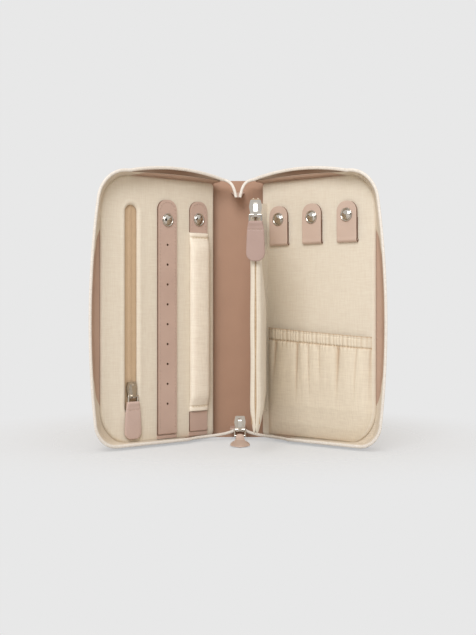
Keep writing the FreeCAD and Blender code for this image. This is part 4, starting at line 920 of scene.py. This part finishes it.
tongue = surface("top_tongue_leather", top_tongue(), leather, wall=1.0 * MM, offset=0.0)
carried(tongue, "spine", "outer_leather", "zip_tongue_top")

for side, name in HALVES:
    z = np.linspace(0.3, 199.7, 60)
    path = np.stack([np.full_like(z, side * FOLD_X), np.zeros_like(z), z], -1) * MM
    radius = np.full(60, 1.45 * MM)
    fold = tube(f"{name}_fold_leather", path, [0.0, -1.0, 0.0], radius, radius, cover_hide, 16)
    carried(fold, "spine", "outer_leather")


# Stage, light and camera

def floor_finish():
    """Pale paper floor, which fades into the background away from the object."""
    material, tree, shader = new_material("pale_paper", Roughness=0.9, Specular_IOR_Level=0.1,
                                          Base_Color=colour("#d8d8d8"))
    where = add(tree, "TexCoord")
    length = add(tree, "VectorMath", links={0: (where, "Object")}, operation="LENGTH")
    fade = add(tree, "MapRange", {"From Min": 0.08, "From Max": 0.26, "To Min": 0.55},
               {"Value": (length, "Value")}, interpolation_type="SMOOTHSTEP")
    ray = add(tree, "LightPath")
    factor = add(tree, "Math", links={0: (fade, "Result"), 1: (ray, "Is Camera Ray")}, operation="MULTIPLY")
    clear = add(tree, "BsdfTransparent")
    mix = add(tree, "MixShader", links={0: (factor, "Value"), 1: (shader, "BSDF"), 2: (clear, "BSDF")})
    tree.links.new(mix.outputs["Shader"], tree.nodes["Material Output"].inputs["Surface"])
    return material


turn = np.linspace(0, 2 * math.pi, 97)[:-1]
radius = np.array([0.0, 0.05, 0.2, 0.6, 1.6])[:, None]
disc = np.stack(np.broadcast_arrays(radius * np.cos(turn), radius * np.sin(turn), -0.0002), -1)
floor = surface("floor", disc, floor_finish(), loop=True, flip=True)

# The world lights the object softly, and the camera and mirrors see a plain grey card in its place

world = bpy.context.scene.world or bpy.data.worlds.new("studio")
bpy.context.scene.world = world
world.use_nodes = True
sky = world.node_tree
sky.nodes.clear()
ray = add(sky, "LightPath")
through = add(sky, "Math", links={0: (ray, "Is Camera Ray"), 1: (ray, "Is Transmission Ray")},
              operation="MAXIMUM")
seen = add(sky, "Math", links={0: (through, "Value"), 1: (ray, "Is Glossy Ray")}, operation="MAXIMUM")
wide = add(sky, "Background", {"Color": colour("#fff3e4"), "Strength": 0.64})
card = add(sky, "Background", {"Color": colour("#e8e8e8"), "Strength": 1.0})
mixed = add(sky, "MixShader", links={0: (seen, "Value"), 1: (wide, "Background"), 2: (card, "Background")})
add(sky, "OutputWorld", links={"Surface": (mixed, "Shader")})


def lamp(name, place, aim, size, power):
    """A square soft box at a place, turned to an aim."""
    light = bpy.data.lights.new(name, "AREA")
    light.shape = "SQUARE"
    light.size = size
    light.energy = power
    light.color = colour("#f6faff")[:3]
    obj = bpy.data.objects.new(name, light)
    bpy.context.scene.collection.objects.link(obj)
    way = np.array(aim) - np.array(place)
    pitch = math.atan2(math.hypot(way[0], way[1]), -way[2])
    obj.location = place
    obj.rotation_euler = (pitch, 0, math.atan2(way[1], way[0]) - math.pi / 2)


lamp("key_box", (-0.25, -1.2, 0.9), (0, -0.05, 0.1), 0.7, 12.9)
lamp("top_box", (0.1, -0.1, 1.3), (0, -0.05, 0.1), 1.0, 2.5)

# A black card beside the camera, which only mirrors see: it gives the metal its dark side

card_points = np.array([[[0.12, -0.95, -0.1], [0.5, -0.7, -0.1]], [[0.12, -0.95, 0.6], [0.5, -0.7, 0.6]]])
black_card = surface("black_card", card_points, plain_fibre("black_paper", "#050505", "#0a0a0a", 0.003, 0.9))
black_card.visible_camera = black_card.visible_diffuse = black_card.visible_shadow = False
black_card.visible_transmission = False

camera = bpy.data.cameras.new("camera")
camera.lens = 58.1
camera.sensor_width = 36
camera.shift_y = -0.0134
camera_object = bpy.data.objects.new("camera", camera)
camera_object.location = (0, -0.802, 0.100)
camera_object.rotation_euler = (math.pi / 2, 0, 0)
bpy.context.scene.collection.objects.link(camera_object)
bpy.context.scene.camera = camera_object
bpy.context.scene.view_settings.view_transform = "Standard"
